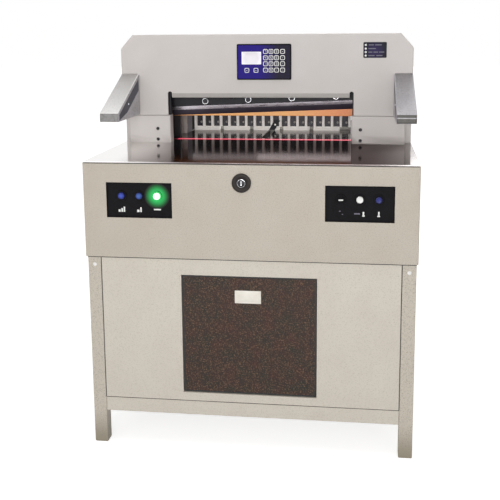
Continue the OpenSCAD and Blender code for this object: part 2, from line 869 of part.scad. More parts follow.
module frame_plates(inner, outer) {
    lo = min(inner, outer);
    hi = max(inner, outer);
    web = outer > 0 ? outer - web_t : outer;
    block(lo, hi, frame_y, frame_front_back_y, table_z, table_z + frame_h);
    block(lo, hi, rear_plate_y, frame_back_y, table_z, table_z + frame_h);
    block(web, web + web_t, frame_y, frame_back_y, table_z, table_z + frame_h);
}

module screw_posts(x)
    for (lift = screw_lifts)
        bar_y(2 * cover_shank_d, x, hood_y + sheet_t, frame_y + eps, table_z + lift);

module screw_bores(x)
    for (lift = screw_lifts)
        bar_y(cover_shank_d, x, hood_y, frame_y + frame_front_t / 2, table_z + lift);

module left_side_frame() color("#3c3d40") {
    slot = roller_d + 2 * roller_play;
    run_x = roller_up_x - roller_down_x;
    run_z = roller_up_z - pivot_down_z;
    run = sqrt(run_x * run_x + run_z * run_z);
    difference() {
        union() {
            frame_plates(frame_l, -web_out);
            screw_posts(throat_l - left_screw_in);
        }
        screw_bores(throat_l - left_screw_in);
        translate([roller_down_x, frame_y - eps, pivot_down_z])
            rotate([0, atan2(run_x, run_z), 0]) {
                translate([-slot / 2, 0, 0]) cube([slot, frame_front_t + 2 * eps, run]);
                for (z = [0, run]) bar_y(slot, 0, 0, frame_front_t + 2 * eps, z);
            }
    }
}

module right_side_frame() color("#3c3d40") {
    slot = slider_w + 2 * slide_play;
    difference() {
        union() {
            frame_plates(frame_r, web_out);
            screw_posts(throat_r + right_screw_in);
        }
        screw_bores(throat_r + right_screw_in);
        on_slide(frame_y - eps)
            translate([-slot / 2, 0, -barrel_start])
                cube([slot, frame_front_t + 2 * eps, barrel_start + slider_h / 2 + slot_room]);
    }
}

module top_beam() color("#3c3d40")
    block(-web_out, web_out, clamp_y, frame_back_y, table_z + frame_h, table_z + frame_h + beam_h);

// Hood and covers

// Outline of the hood seen from the front, shrunk by a wall
module hood_outline(wall) {
    half = hood_w / 2 - wall;
    top = hood_top_z - wall;
    cut = wall * (sqrt(corner_w * corner_w + corner_h * corner_h) - corner_w - corner_h) / corner_h;
    polygon([
        [-half, table_z], [half, table_z],
        [half, hood_top_z - corner_h - wall - cut * corner_h / corner_w],
        [hood_w / 2 - corner_w - wall - cut, top],
        [-hood_w / 2 + corner_w + wall + cut, top],
        [-half, hood_top_z - corner_h - wall - cut * corner_h / corner_w]
    ]);
}

module hood_shell() color("#cac5c0")
    difference() {
        union() {
            plate_xz(hood_y, hood_y + sheet_t) hood_outline(0);
            difference() {
                plate_xz(hood_y, hood_back_y) hood_outline(0);
                plate_xz(hood_y - eps, hood_back_y + eps) hood_outline(sheet_t);
                block(-hood_w, hood_w, hood_y - eps, hood_back_y + eps, table_z - eps, table_z);
            }
            for (side = [-1, 1])
                translate([side * (hood_w / 2 - side_strip / 2), 0, 0])
                    block(-side_strip / 2, side_strip / 2, hood_y + cover_d, hood_y + cover_d + sheet_t,
                          table_z, seam_z + eps);
            block(throat_l, throat_r, hood_y, hood_y + bridge_fold, bridge_z, bridge_z + sheet_t);
        }
        block(-hood_w, hood_w, hood_y - eps, hood_y + cover_d, table_z - eps, seam_z);
        block(throat_l - relief_w / 2, throat_r + relief_w / 2, hood_y - eps, hood_y + sheet_t + eps,
              seam_z - eps, bridge_z);
        block(-hood_w / 2 + sheet_t, hood_w / 2 - sheet_t, hood_y + cover_d + sheet_t, hood_back_y + eps,
              table_z - eps, seam_z);
        for (x = [throat_l, throat_r]) {
            block(x - relief_w / 2, x + relief_w / 2, hood_y - eps, hood_y + bridge_fold + eps,
                  bridge_z - eps, bridge_z + relief_h - relief_w / 2);
            bar_y(relief_w, x, hood_y - eps, hood_y + bridge_fold + eps, bridge_z + relief_h - relief_w / 2);
        }
    }

// A plate with a passage for the gauge, between two lips that are folded back
module hood_back_cover() color("#cac5c0") {
    difference() {
        plate_xz(hood_back_y - sheet_t, hood_back_y) hood_outline(sheet_t);
        block(throat_x - rear_half, throat_x + rear_half, hood_back_y - sheet_t - eps, hood_back_y + eps,
              table_z - eps, table_z + back_gap);
    }
    for (x = [throat_x - rear_half - sheet_t, throat_x + rear_half])
        block(x, x + sheet_t, hood_back_y - eps, hood_back_y + back_lip, table_z, table_z + back_gap);
}

module lower_cover(x0, x1, screw_x) color("#cac5c0")
    difference() {
        block(x0, x1, hood_y, hood_y + cover_d, table_z, seam_z - seam);
        block(x0 + sheet_t, x1 - sheet_t, hood_y + sheet_t, hood_y + cover_d + eps,
              table_z - eps, seam_z - seam - sheet_t);
        block(x0 + sheet_t, x1 - sheet_t, frame_y - fold_gap, hood_y + cover_d + eps, table_z - eps, seam_z);
        for (lift = screw_lifts)
            bar_y(cover_shank_d, screw_x, hood_y - eps, hood_y + sheet_t + eps, table_z + lift);
    }

module left_lower_cover() lower_cover(-cover_out, throat_l, throat_l - left_screw_in);

module right_lower_cover() lower_cover(throat_r, cover_out, throat_r + right_screw_in);

module cover_screws() color("#2a2828")
    for (x = [throat_l - left_screw_in, throat_r + right_screw_in], lift = screw_lifts)
        translate([0, 0, table_z + lift])
            difference() {
                union() {
                    bar_y(cover_screw_d, x, hood_y - cover_head_h, hood_y, 0);
                    bar_y(cover_shank_d, x, hood_y - eps, frame_y + frame_front_t / 2, 0);
                }
                bar_y(cover_socket_d, x, hood_y - cover_head_h - eps, hood_y - cover_head_h / 3, 0);
            }

// Guard arms

// Side of an arm: +X of the profile runs forward from the hood
module arm_profile(wall) {
    drop = wall * sqrt(1 + arm_slope * arm_slope);
    tip = arm_reach - wall;
    polygon([
        [0, arm_root_low + wall], [tip, arm_root_low + arm_floor_slope * tip + wall],
        [tip, arm_root_top - arm_slope * tip - drop], [0, arm_root_top - drop]
    ]);
}

// The window follows the arm's sloped top
function window_top(reach) = arm_root_top - arm_slope * reach - window_down;

module window_profile()
    polygon([
        [window_start, window_top(window_start)], [window_end, window_top(window_end)],
        [window_end, max(window_top(window_end) - window_w, arm_tip_low + window_sill)],
        [window_bend, window_top(window_bend) - window_w],
        [window_start, window_top(window_start) - window_w]
    ]);

// Carries a side profile across an arm, from x0 to x1
module across_arm(x0, x1)
    translate([x1, hood_y, table_z]) rotate([90, 0, -90]) linear_extrude(x1 - x0) children();

module guard_arm(side) color("#c3c0bd") {
    x0 = side > 0 ? arm_out - arm_w : -arm_out;
    inner = side > 0 ? x0 : x0 + arm_w - window_t;
    difference() {
        across_arm(x0, x0 + arm_w) arm_profile(0);
        translate([0, eps, 0]) across_arm(x0 + arm_wall, x0 + arm_w - arm_wall) arm_profile(arm_wall);
        across_arm(side > 0 ? inner - eps : inner, side > 0 ? inner + window_t : inner + window_t + eps)
            window_profile();
    }
}

module left_guard_arm() guard_arm(-1);

module right_guard_arm() guard_arm(1);

module guard_windows() color("#4b4d5c")
    for (side = [-1, 1]) {
        inner = side > 0 ? arm_out - arm_w : -arm_out + arm_w - window_t;
        across_arm(inner, inner + window_t) window_profile();
    }

// Controls

module lcd_cut(y0, y1)
    block(-keypad_w / 2 + lcd_in, -keypad_w / 2 + lcd_in + lcd_w, y0, y1,
          keypad_z + lcd_up, keypad_z + lcd_up + lcd_h);

module keypad_panel() color("#241f38")
    difference() {
        block(-keypad_w / 2, keypad_w / 2, hood_y - keypad_t, hood_y, keypad_z, keypad_z + keypad_h);
        lcd_cut(hood_y - keypad_t - eps, hood_y - keypad_t + lcd_t);
    }

module lcd_window() color("#f0eef0")
    lcd_cut(hood_y - keypad_t + eps, hood_y - keypad_t + lcd_t);

module button_panel(side) color("#1e1c1b")
    translate([side * panel_mid, 0, button_z])
        difference() {
            union() {
                difference() {
                    block(-panel_w / 2, panel_w / 2, front_y, panel_back_y,
                          button_drop - panel_h, button_drop);
                    block(-panel_w / 2 + sheet_t, panel_w / 2 - sheet_t, front_y - eps, panel_floor_y,
                          button_drop - panel_h + sheet_t, button_drop - sheet_t);
                }
                for (k = [-1, 0, 1]) {
                    bar_y(collar_d, k * button_pitch, collar_y, panel_floor_y + eps, 0);
                    bar_y(collar_d, k * button_pitch, panel_back_y - eps, panel_back_y + cup_l, 0);
                }
            }
            for (k = [-1, 0, 1])
                bar_y(button_d + 2 * button_play, k * button_pitch, collar_y - eps,
                      panel_back_y + cup_l - panel_t, 0);
        }

module left_button_panel() button_panel(-1);

module right_button_panel() button_panel(1);

// A cap with a rounded rim on a plunger, one of three across a panel
module push_button(side, k)
    translate([side * panel_mid + k * button_pitch, 0, button_z]) {
        rim = button_rim;
        translate([0, cap_y, 0]) rotate([-90, 0, 0]) rotate_extrude() {
            square([button_d / 2 - rim, stem_end_y - cap_y]);
            translate([0, rim]) square([button_d / 2, stem_end_y - cap_y - rim]);
            intersection() {
                translate([button_d / 2 - rim, rim]) circle(rim);
                square([button_d / 2, 2 * rim]);
            }
        }
    }

module left_blue_button() color("#3347a8") push_button(-1, -1);

module middle_blue_button() color("#3347a8") push_button(-1, 0);

module green_button() color("#2fae58") push_button(-1, 1);

module white_button() color("#f0f0ee") push_button(1, 0);

module right_blue_button() color("#2a2f7a") push_button(1, 1);

module selector_knob() color("#262425")
    translate([panel_mid - button_pitch, 0, button_z]) {
        half = button_d / 2 - lever_step;
        bar_y(button_d, 0, cap_y + button_show / 2, stem_end_y, 0);
        block(-half, half, front_y - lever_show, cap_y + button_show, -lever_w / 2, lever_w / 2);
    }

module lock_plate() color("#2f2a28")
    difference() {
        bar_y(lock_plate_d, lock_x, front_y - lock_plate_t, front_y, lock_z);
        bar_y(lock_d + 2 * shaft_play, lock_x, front_y - lock_plate_t - eps, front_y + eps, lock_z);
    }

module lock_plug() color("#c9c9cc")
    difference() {
        union() {
            bar_y(lock_d, lock_x, front_y - lock_proud, front_y - eps, lock_z);
            bar_y(lock_d - 2 * lock_step, lock_x, front_y - 2 * eps, front_y - lock_proud + lock_l, lock_z);
        }
        block(lock_x - key_w / 2, lock_x + key_w / 2, front_y - lock_proud - eps,
              front_y - lock_proud + key_deep, lock_z - key_h / 2, lock_z + key_h / 2);
    }

// Hydraulic unit

module oil_tank() color("#7d8288")
    difference() {
        block(-tank_w / 2, tank_w / 2, tank_y - tank_d / 2, tank_y + tank_d / 2, pan_top_z, tank_top_z);
        block(-tank_w / 2 + tank_wall, tank_w / 2 - tank_wall, tank_y - tank_d / 2 + tank_wall,
              tank_y + tank_d / 2 - tank_wall, pan_top_z + tank_wall, tank_top_z - tank_wall);
    }

module pump_motor() color("#5f6b78") {
    bar_x(pump_motor_d, pump_motor_x - pump_motor_l / 2, pump_x, tank_y, pump_motor_z);
    for (x = [pump_motor_x - pump_motor_l / 4, pump_motor_x + pump_motor_l / 4])
        block(x - motor_foot / 2, x + motor_foot / 2, tank_y - pump_motor_d / 2 + motor_foot / 2,
              tank_y + pump_motor_d / 2 - motor_foot / 2, tank_top_z, pump_motor_z - pump_motor_d / 4);
    block(pump_motor_x - motor_box / 2, pump_motor_x + motor_box / 2, tank_y - pump_motor_d / 2 - motor_box_d,
          tank_y, pump_motor_z - motor_box / 2, pump_motor_z + motor_box / 2);
}

module hydraulic_pump() color("#9a9c9e") {
    bar_x(pump_w, pump_x, pump_x + pump_l / 2, tank_y, pump_motor_z);
    block(pump_x + pump_l / 2 - eps, pump_x + pump_l, tank_y - pump_w / 2, tank_y + pump_w / 2,
          pump_motor_z - pump_w / 2, pump_motor_z + pump_w / 2);
}

module valve_block() color("#b4b5b6") {
    block(valve_x - valve_w / 2, valve_x + valve_w / 2, valve_y, valve_y + valve_h, tank_top_z, valve_top_z);
    for (k = [-1, 1])
        bar_z(coil_d, valve_x + k * valve_w / 4, valve_y + valve_h / 2,
              valve_top_z - eps, valve_top_z + coil_l);
}

// A pipe through a list of corners, with round elbows
module pipe(points) {
    for (i = [0 : len(points) - 2]) {
        step = points[i + 1] - points[i];
        span = norm(step);
        translate(points[i])
            rotate([0, acos(step[2] / span), atan2(step[1], step[0])])
                cylinder(d = pipe_d, h = span);
    }
    for (i = [1 : len(points) - 2]) translate(points[i]) sphere(d = pipe_d);
}

module oil_pipes() color("#8a8d90") {
    knife_port = barrel_start + knife_barrel_l - cylinder_end - stroke_room;
    knife_x = pivot_up_x - knife_port * sin(slide_angle);
    knife_z = pivot_up_z - knife_port * cos(slide_angle);
    knife_side_y = rod_axis_y + knife_barrel_d / 2 - pipe_seat;
    clamp_side_y = clamp_mid_y + clamp_barrel_d / 2 - pipe_seat;
    pipe_start_z = valve_top_z - eps;
    clamp_port_z = bed_z - cylinder_end - stroke_room;
    difference() {
        union() {
            pipe([[valve_x + valve_w / 2 - pipe_d, pipe_y, pipe_start_z],
                  [valve_x + valve_w / 2 - pipe_d, pipe_y, knife_z],
                  [knife_x, pipe_y, knife_z],
                  [knife_x, knife_side_y, knife_z]]);
            pipe([[valve_x - valve_w / 2 + pipe_d, pipe_y, pipe_start_z],
                  [valve_x - valve_w / 2 + pipe_d, pipe_y, clamp_port_z],
                  [throat_x, pipe_y, clamp_port_z],
                  [throat_x, clamp_side_y, clamp_port_z]]);
        }
        on_slide(rod_axis_y) translate([0, 0, -barrel_start - knife_barrel_l])
            cylinder(d = knife_barrel_d, h = knife_barrel_l);
        bar_z(clamp_barrel_d, throat_x, clamp_mid_y, clamp_barrel_z, bed_z);
        block(-tank_w, tank_w, tank_y - tank_d, tank_y + tank_d, pan_top_z, valve_top_z);
    }
}

// Cylinders

module knife_cylinder() color("#54585c") {
    foot_x = pivot_up_x - barrel_start * sin(slide_angle);
    difference() {
        union() {
            block(foot_x - foot_w / 2, foot_x + foot_w / 2, rod_axis_y - knife_barrel_d / 2 - foot_side,
                  rod_axis_y + knife_barrel_d / 2 + foot_side, bed_z - foot_h, bed_z);
            on_slide(rod_axis_y) translate([0, 0, -barrel_start - knife_barrel_l])
                cylinder(d = knife_barrel_d, h = knife_barrel_l);
        }
        on_slide(rod_axis_y) {
            translate([0, 0, -knife_piston_start])
                cylinder(d = knife_rod_d + 2 * shaft_play, h = knife_piston_start);
            translate([0, 0, -barrel_start - gland_l - knife_chamber])
                cylinder(d = knife_bore_d, h = knife_chamber);
        }
    }
}

module clamp_cylinder() color("#54585c")
    difference() {
        bar_z(clamp_barrel_d, throat_x, clamp_mid_y, clamp_barrel_z, bed_z);
        bar_z(clamp_bore_d, throat_x, clamp_mid_y, clamp_barrel_z + gland_l, bed_z - cylinder_end);
        bar_z(clamp_rod_d + 2 * shaft_play, throat_x, clamp_mid_y, clamp_barrel_z - eps,
              bed_z - cylinder_end - eps);
    }

// Knife

module knife_slider() color("#8b8f94")
    union() {
        on_slide(slider_y)
            translate([-slider_w / 2, 0, -slider_h / 2]) cube([slider_w, slider_back_y - slider_y, slider_h]);
        bar_y(pivot_d, pivot_up_x, slider_back_y - eps, blade_y, pivot_up_z);
    }

module knife_rod() color("#c4c6c8")
    on_slide(rod_axis_y) {
        translate([0, 0, -knife_piston_start - piston_t]) {
            cylinder(d = knife_rod_d, h = knife_piston_start + piston_t - slider_h / 2);
            cylinder(d = knife_piston_d, h = piston_t);
        }
    }

module bolt_row()
    for (k = [0 : knife_bolts_n - 1])
        translate([knife_bolt_x + (k - (knife_bolts_n - 1) / 2) * knife_bolt_pitch, 0,
                   edge_z + blade_show + knife_bolt_lift]) children();

module knife_bar() color("#1b1822")
    raise_knife() difference() {
        block(roller_down_x - roller_d / 2, pivot_down_x + pivot_d / 2 + pivot_margin, bar_y, blade_y,
              edge_z + blade_show, edge_z + blade_show + bar_h);
        bar_y(pivot_d + 2 * shaft_play, pivot_down_x, bar_y - eps, blade_y + eps, pivot_down_z);
        bar_y(roller_pin_d, roller_down_x, bar_y - eps, blade_y + eps, pivot_down_z);
        bolt_row() bar_y(knife_shank_d, 0, bar_y - eps, blade_y + eps, 0);
    }

module knife_blade() color("#c8c4c8")
    raise_knife() difference() {
        plate_yz(blade_l_x, blade_r_x)
            polygon([
                [cut_y, edge_z], [cut_y - edge_flat, edge_z], [blade_y, edge_z + bevel_h],
                [blade_y, edge_z + blade_h], [cut_y, edge_z + blade_h]
            ]);
        bolt_row() bar_y(knife_shank_d, 0, blade_y - eps, cut_y + eps, 0);
    }

module knife_bolts() color("#2b2a2e")
    raise_knife() bolt_row() difference() {
        union() {
            bar_y(knife_bolt_d, 0, bar_y - knife_bolt_h, bar_y, 0);
            bar_y(knife_shank_d, 0, bar_y - eps, cut_y - shank_short, 0);
        }
        bar_y(knife_shank_d, 0, bar_y - knife_bolt_h - eps, bar_y - knife_bolt_h / 3, 0);
    }

module guide_roller() color("#9fa2a6")
    raise_knife() {
        bar_y(roller_d, roller_down_x, slider_y, slider_back_y, pivot_down_z);
        bar_y(roller_pin_d, roller_down_x, slider_back_y - eps, blade_y, pivot_down_z);
    }

// Clamp

module clamp_beam() color("#e8a050")
    difference() {
        block(-clamp_half, clamp_half, clamp_y, clamp_y + clamp_d, clamp_z, clamp_z + clamp_h);
        for (side = [-1, 1])
            bar_z(pull_rod_d, side * pull_rod_x, clamp_mid_y, clamp_z - eps, clamp_z + pull_rod_seat);
    }

module clamp_yoke() color("#a9acae")
    union() {
        block(-crosshead_half, crosshead_half, clamp_mid_y - crosshead_d / 2, clamp_mid_y + crosshead_d / 2,
              crosshead_top_z - crosshead_h, crosshead_top_z);
        for (side = [-1, 1])
            bar_z(pull_rod_d, side * pull_rod_x, clamp_mid_y, crosshead_top_z - eps, clamp_z + pull_rod_seat);
        bar_z(clamp_rod_d, throat_x, clamp_mid_y, crosshead_top_z - eps,
              bed_z - cylinder_end - stroke_room);
        bar_z(clamp_piston_d, throat_x, clamp_mid_y, bed_z - cylinder_end - stroke_room - piston_t,
              bed_z - cylinder_end - stroke_room);
    }

// Back gauge

module gauge_comb() color("#c9c4c0") {
    pad_l = pad_bars * comb_pitch;
    for (k = [0 : comb_n - 1])
        translate([throat_x - comb_half + k * comb_pitch, 0, 0])
            block(0, comb_bar, gauge_y, gauge_y + comb_d, gauge_z + pad_h - eps, gauge_z + gauge_h);
    block(throat_x - comb_half, throat_x + comb_half, gauge_y + comb_d / 2, gauge_y + comb_d,
          gauge_z + pad_h - eps, gauge_z + gauge_h);
    for (x = [throat_x - comb_half : pad_l + comb_pitch / 2 : throat_x + comb_half - comb_pitch])
        block(x, min(x + pad_l, throat_x + comb_half), gauge_y, gauge_y + comb_d, gauge_z, gauge_z + pad_h);
}

module gauge_carriage() color("#75787c")
    difference() {
        union() {
            block(throat_x - comb_half, throat_x + comb_half, gauge_y + comb_d, gauge_back_y,
                  gauge_z, gauge_z + gauge_h);
            block(throat_x - neck_w / 2, throat_x + neck_w / 2, gauge_back_y - gauge_beam_t,
                  nut_y + nut_l / 2, screw_z, gauge_z + gauge_h / 3);
            block(throat_x - nut_w / 2, throat_x + nut_w / 2, nut_y - nut_l / 2, nut_y + nut_l / 2,
                  screw_z - nut_w / 2, screw_z + nut_w / 2);
        }
        bar_y(screw_d + 2 * shaft_play, throat_x, gauge_y, nut_y + nut_l, screw_z);
    }

module lead_screw() color("#b9bcbf") {
    bar_y(screw_d, throat_x, screw_start_y, pulley_y + eps, screw_z);
    bar_y(pulley_d, throat_x, pulley_y, tail_y, screw_z);
}

module screw_bearings() color("#5a5d61")
    for (y = [front_bearing_y, rear_bearing_y])
        difference() {
            block(throat_x - bearing_w / 2, throat_x + bearing_w / 2, y, y + bearing_t,
                  screw_z - screw_d, y < cabinet_back_y ? bed_z : bed_tail_z);
            bar_y(screw_d + 2 * shaft_play, throat_x, y - eps, y + bearing_t + eps, screw_z);
        }

module gauge_motor() color("#2d2f33")
    difference() {
        union() {
            block(throat_x - motor_w / 2, throat_x + motor_w / 2, motor_y - motor_l, motor_y,
                  motor_z - motor_w / 2, motor_z + motor_w / 2);
            block(bracket_x, bracket_x + bracket_t, motor_y - motor_l / 2, motor_y, motor_z, bed_tail_z);
        }
        bar_y(motor_shaft_d + 2 * shaft_play, throat_x, motor_y - motor_l / 3, motor_y + eps, motor_z);
    }

module motor_pulley() color("#b9bcbf") {
    bar_y(pulley_d, throat_x, pulley_y, tail_y, motor_z);
    bar_y(motor_shaft_d, throat_x, pulley_y - motor_l / 3, pulley_y + eps, motor_z);
}

module belt_loop(d)
    union() {
        for (z = [motor_z, screw_z]) translate([throat_x, z]) circle(d = d);
        translate([throat_x - d / 2, motor_z]) square([d, screw_z - motor_z]);
    }

module gauge_belt() color("#222222")
    plate_xz(pulley_y + belt_in, tail_y - belt_in) difference() {
        belt_loop(pulley_d + 2 * belt_gap + 2 * belt_t);
        belt_loop(pulley_d + 2 * belt_gap);
    }

front_legs();
rear_legs();
bottom_rails();
floor_pan();
front_panel();
door_pins();
left_side_panel();
right_side_panel();
rear_panel();
apron();
bed_casting();
front_table();
rear_table();
cutting_stick();
left_side_frame();
right_side_frame();
top_beam();
hood_shell();
hood_back_cover();
left_lower_cover();
right_lower_cover();
cover_screws();
left_guard_arm();
right_guard_arm();
guard_windows();
keypad_panel();
lcd_window();
left_button_panel();
right_button_panel();
lock_plate();
oil_tank();
pump_motor();
hydraulic_pump();
valve_block();
oil_pipes();
knife_cylinder();
clamp_cylinder();
screw_bearings();
gauge_motor();
gauge_belt();
knife_slider();
knife_rod();
knife_bar();
knife_blade();
knife_bolts();
guide_roller();
clamp_beam();
clamp_yoke();
gauge_comb();
gauge_carriage();
lead_screw();
motor_pulley();
left_blue_button();
middle_blue_button();
green_button();
white_button();
right_blue_button();
selector_knob();
lock_plug();
access_door();
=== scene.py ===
import json
import math

import bmesh
import bpy
import numpy as np
from mathutils import Matrix, Vector

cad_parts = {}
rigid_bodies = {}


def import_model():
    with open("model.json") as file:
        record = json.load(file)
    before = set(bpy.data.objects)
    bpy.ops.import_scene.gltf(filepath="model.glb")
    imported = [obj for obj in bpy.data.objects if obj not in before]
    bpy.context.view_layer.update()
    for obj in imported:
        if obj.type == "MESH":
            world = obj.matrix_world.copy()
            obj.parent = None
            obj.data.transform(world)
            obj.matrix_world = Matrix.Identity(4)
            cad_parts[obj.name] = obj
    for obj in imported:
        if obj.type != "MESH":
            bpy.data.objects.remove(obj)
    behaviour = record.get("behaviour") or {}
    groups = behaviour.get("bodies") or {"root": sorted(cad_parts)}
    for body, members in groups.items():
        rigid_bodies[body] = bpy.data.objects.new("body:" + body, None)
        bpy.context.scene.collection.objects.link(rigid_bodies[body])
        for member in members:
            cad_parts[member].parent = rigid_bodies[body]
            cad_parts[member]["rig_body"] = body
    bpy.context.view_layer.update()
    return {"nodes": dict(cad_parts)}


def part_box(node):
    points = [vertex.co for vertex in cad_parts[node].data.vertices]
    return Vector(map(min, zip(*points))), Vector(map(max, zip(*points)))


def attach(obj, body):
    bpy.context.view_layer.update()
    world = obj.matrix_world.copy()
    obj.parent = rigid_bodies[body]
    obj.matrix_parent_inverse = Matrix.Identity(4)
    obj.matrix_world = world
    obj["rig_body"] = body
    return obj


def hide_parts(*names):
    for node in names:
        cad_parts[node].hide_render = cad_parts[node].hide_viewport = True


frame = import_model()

mm = 0.001
scene = bpy.context.scene
scene.view_settings.view_transform = "Standard"


def linear(code):
    # sRGB hex to linear light: a straight line near black, a 2.4 power above it
    part = np.array([int(code[k:k + 2], 16) for k in (1, 3, 5)]) / 255
    return (*np.where(part <= 0.04045, part / 12.92, ((part + 0.055) / 1.055) ** 2.4).tolist(), 1.0)


def addNode(tree, kind, links=None, **settings):
    # settings are the node's own properties, links fill its sockets with values or other nodes' outputs
    node = tree.nodes.new("ShaderNode" + kind)
    for key, value in settings.items():
        setattr(node, key, value)
    for socket, value in (links or {}).items():
        if isinstance(value, bpy.types.NodeSocket):
            tree.links.new(value, node.inputs[socket])
        else:
            node.inputs[socket].default_value = value
    return node


# camera: found from the corners of the hood, table, apron, door and legs
cameraSetup = {
    "place": (0.3572, -3.2677, 1.3829),
    "yaw": 7.608, "pitch": -9.652, "roll": -0.474,      # degrees
    "focal": 843.9, "frame": 500.0, "sensor": 36.0,     # pixels, pixels, mm
    "axisRow": 175.0,       # picture row of the lens axis, since the uprights are nearly parallel
}


def putCamera(setup):
    # looks along yaw and pitch, then rolls about its own axis
    yaw, pitch, roll = (math.radians(setup[key]) for key in ("yaw", "pitch", "roll"))
    ahead = Vector((-math.sin(yaw) * math.cos(pitch), math.cos(yaw) * math.cos(pitch), math.sin(pitch)))
    right = Vector((math.cos(yaw), math.sin(yaw), 0.0))
    up = right.cross(ahead)
    right, up = (math.cos(roll) * right + math.sin(roll) * up, math.cos(roll) * up - math.sin(roll) * right)
    lens = bpy.data.cameras.new("camera")
    lens.sensor_width = setup["sensor"]
    lens.lens = setup["focal"] / setup["frame"] * setup["sensor"]
    lens.shift_y = setup["axisRow"] / setup["frame"] - 0.5
    camera = bpy.data.objects.new("camera", lens)
    turn = Matrix((right, up, -ahead)).transposed().to_4x4()
    camera.matrix_world = Matrix.Translation(setup["place"]) @ turn
    scene.collection.objects.link(camera)
    scene.camera = camera


putCamera(cameraSetup)
print("camera in place")


# finishes

def emptyTree(owner):
    # the node tree of a material or world, with nothing in it
    owner.use_nodes = True
    owner.node_tree.nodes.clear()
    return owner.node_tree


noiseSpan = {"most": (0.3, 0.7), "crests": (0.52, 0.7)}         # where the values of a noise lie


def makeFinish(name, tone, shade, family=(), **own):
    # two tones swap in patches, or with the distance from a point where the look has a spread; flecks lie
    # on the crests of the grain, and the grain lifts the surface
    look = {"fleck": (shade, 0.0), "stretch": (1, 1, 1), "metal": 0.0, "gloss": 0.5, "coat": 0.0}
    look.update(family)
    look.update(own)
    smooth, dull = look["rough"]
    fleck, flecks = look["fleck"]
    low, high = noiseSpan["most"]
    crestLow, crestHigh = noiseSpan["crests"]
    finish = bpy.data.materials.new(name)
    tree = emptyTree(finish)
    spot = addNode(tree, "TexCoord").outputs["Object"]
    place = addNode(tree, "Mapping", {"Vector": spot, "Scale": look["stretch"]}).outputs[0]
    grain = addNode(tree, "TexNoise", {"Vector": place, "Scale": 1 / (look["grain"] * mm), "Detail": 2.0})
    grain = grain.outputs[0]
    if "spread" in look:
        middle, along, near, far = look["spread"]
        middle = tuple(mm * part for part in middle)
        away = addNode(tree, "VectorMath", {0: spot, 1: middle}, operation="SUBTRACT")
        away = addNode(tree, "VectorMath", {0: away.outputs[0], 1: along}, operation="MULTIPLY")
        away = addNode(tree, "VectorMath", {0: away.outputs[0]}, operation="LENGTH")
        blend = addNode(tree, "MapRange", {0: away.outputs["Value"], 1: near * mm, 2: far * mm},
                        interpolation_type="SMOOTHSTEP").outputs[0]
    else:
        patch = addNode(tree, "TexNoise", {"Vector": place, "Scale": 1 / (look["patch"] * mm), "Detail": 3.0})
        blend = addNode(tree, "MapRange", {0: patch.outputs[0], 1: low, 2: high}).outputs[0]
    base = addNode(tree, "Mix", {0: blend, 6: linear(tone), 7: linear(shade)}, data_type="RGBA").outputs[2]
    crest = addNode(tree, "MapRange", {0: grain, 1: crestLow, 2: crestHigh, 4: flecks}).outputs[0]
    colour = addNode(tree, "Mix", {0: crest, 6: base, 7: linear(fleck)}, data_type="RGBA").outputs[2]
    rough = addNode(tree, "MapRange", {0: grain, 1: low, 2: high, 3: smooth, 4: dull}).outputs[0]
    bump = addNode(tree, "Bump", {"Height": grain, "Distance": look["lift"] * mm}).outputs[0]
    shader = addNode(tree, "BsdfPrincipled", {
        "Base Color": colour, "Roughness": rough, "Normal": bump, "Metallic": look["metal"],
        "Specular IOR Level": look["gloss"], "Coat Weight": look["coat"], "Coat Roughness": 0.1})
    if "edge" in look:      # tint at a low glance, where bare metal turns white; it fades out with the tone
        tint = {0: blend, 6: linear(look["edge"]), 7: linear("#FFFFFF")}
        tint = addNode(tree, "Mix", tint, data_type="RGBA").outputs[2]
        tree.links.new(tint, shader.inputs["Specular Tint"])
    if "glow" in look:
        tree.links.new(colour, shader.inputs["Emission Color"])
        shader.inputs["Emission Strength"].default_value = look["glow"]
    addNode(tree, "OutputMaterial", {"Surface": shader.outputs[0]})
    finish.diffuse_color = linear(tone)
    return finish


def acrossFront(x, z, near, far):
    # a spread by the distance from x and z on a front face, all in mm
    return (x, 0, z), (1, 0, 1), near, far


# what a family of finishes shares: sizes of patch, grain and lift in mm, and the least and most roughness
powder = {"patch": 90, "grain": 3.0, "lift": 0.12, "rough": (0.42, 0.56)}
hammered = {"grain": 4.0, "lift": 0.3, "rough": (0.34, 0.52)}
polished = {"grain": 9.0, "stretch": (0.25, 1.6, 1.0), "lift": 0.008, "metal": 1.0}
ground = {"patch": 80, "grain": 4.0, "stretch": (0.08, 1.0, 1.0), "lift": 0.03}
bare = {"grain": 3.0, "lift": 0.03, "metal": 1.0}
sprayed = {"patch": 40, "grain": 3.5, "lift": 0.1, "rough": (0.38, 0.54)}
nylon = {"patch": 60, "grain": 3.0, "lift": 0.03}
moulded = {"patch": 20, "grain": 2.5, "lift": 0.03}
glassy = {"grain": 2.0, "lift": 0.01, "rough": (0.2, 0.3)}
dyed = {"grain": 2.0, "lift": 0.02, "rough": (0.18, 0.28)}
printed = {"grain": 2.0, "lift": 0.02, "rough": (0.45, 0.58), "gloss": 0.15}
ink = {"patch": 6, "grain": 1.5, "lift": 0.02, "rough": (0.45, 0.6)}

# baked powder coat on sheet steel: a matt warm grey skin with fine pebble; its 0.5 mm pebble is drawn
# at 3 mm so that it shows
hoodCoat = makeFinish("powder_coat_hood", "#CDC7C4", "#C9C3BF", powder, fleck=("#BAB4AF", 0.35), lift=0.10)
# painted shade: the apron wears the hood's coat, set darker and warmer for how light falls on it
apronShadedCoat = makeFinish("powder_coat_apron_painted_shade", "#BBB3A6", "#B7AEA0", powder, fleck=("#948C7F", 0.75))
# the legs' coat is darker towards the feet
legCoat = makeFinish(
    "powder_coat_legs", "#8F8675", "#BFB7AA", powder, fleck=("#8A8174", 0.75),
    spread=((0, 0, 0), (0, 0, 1), 0, 130))
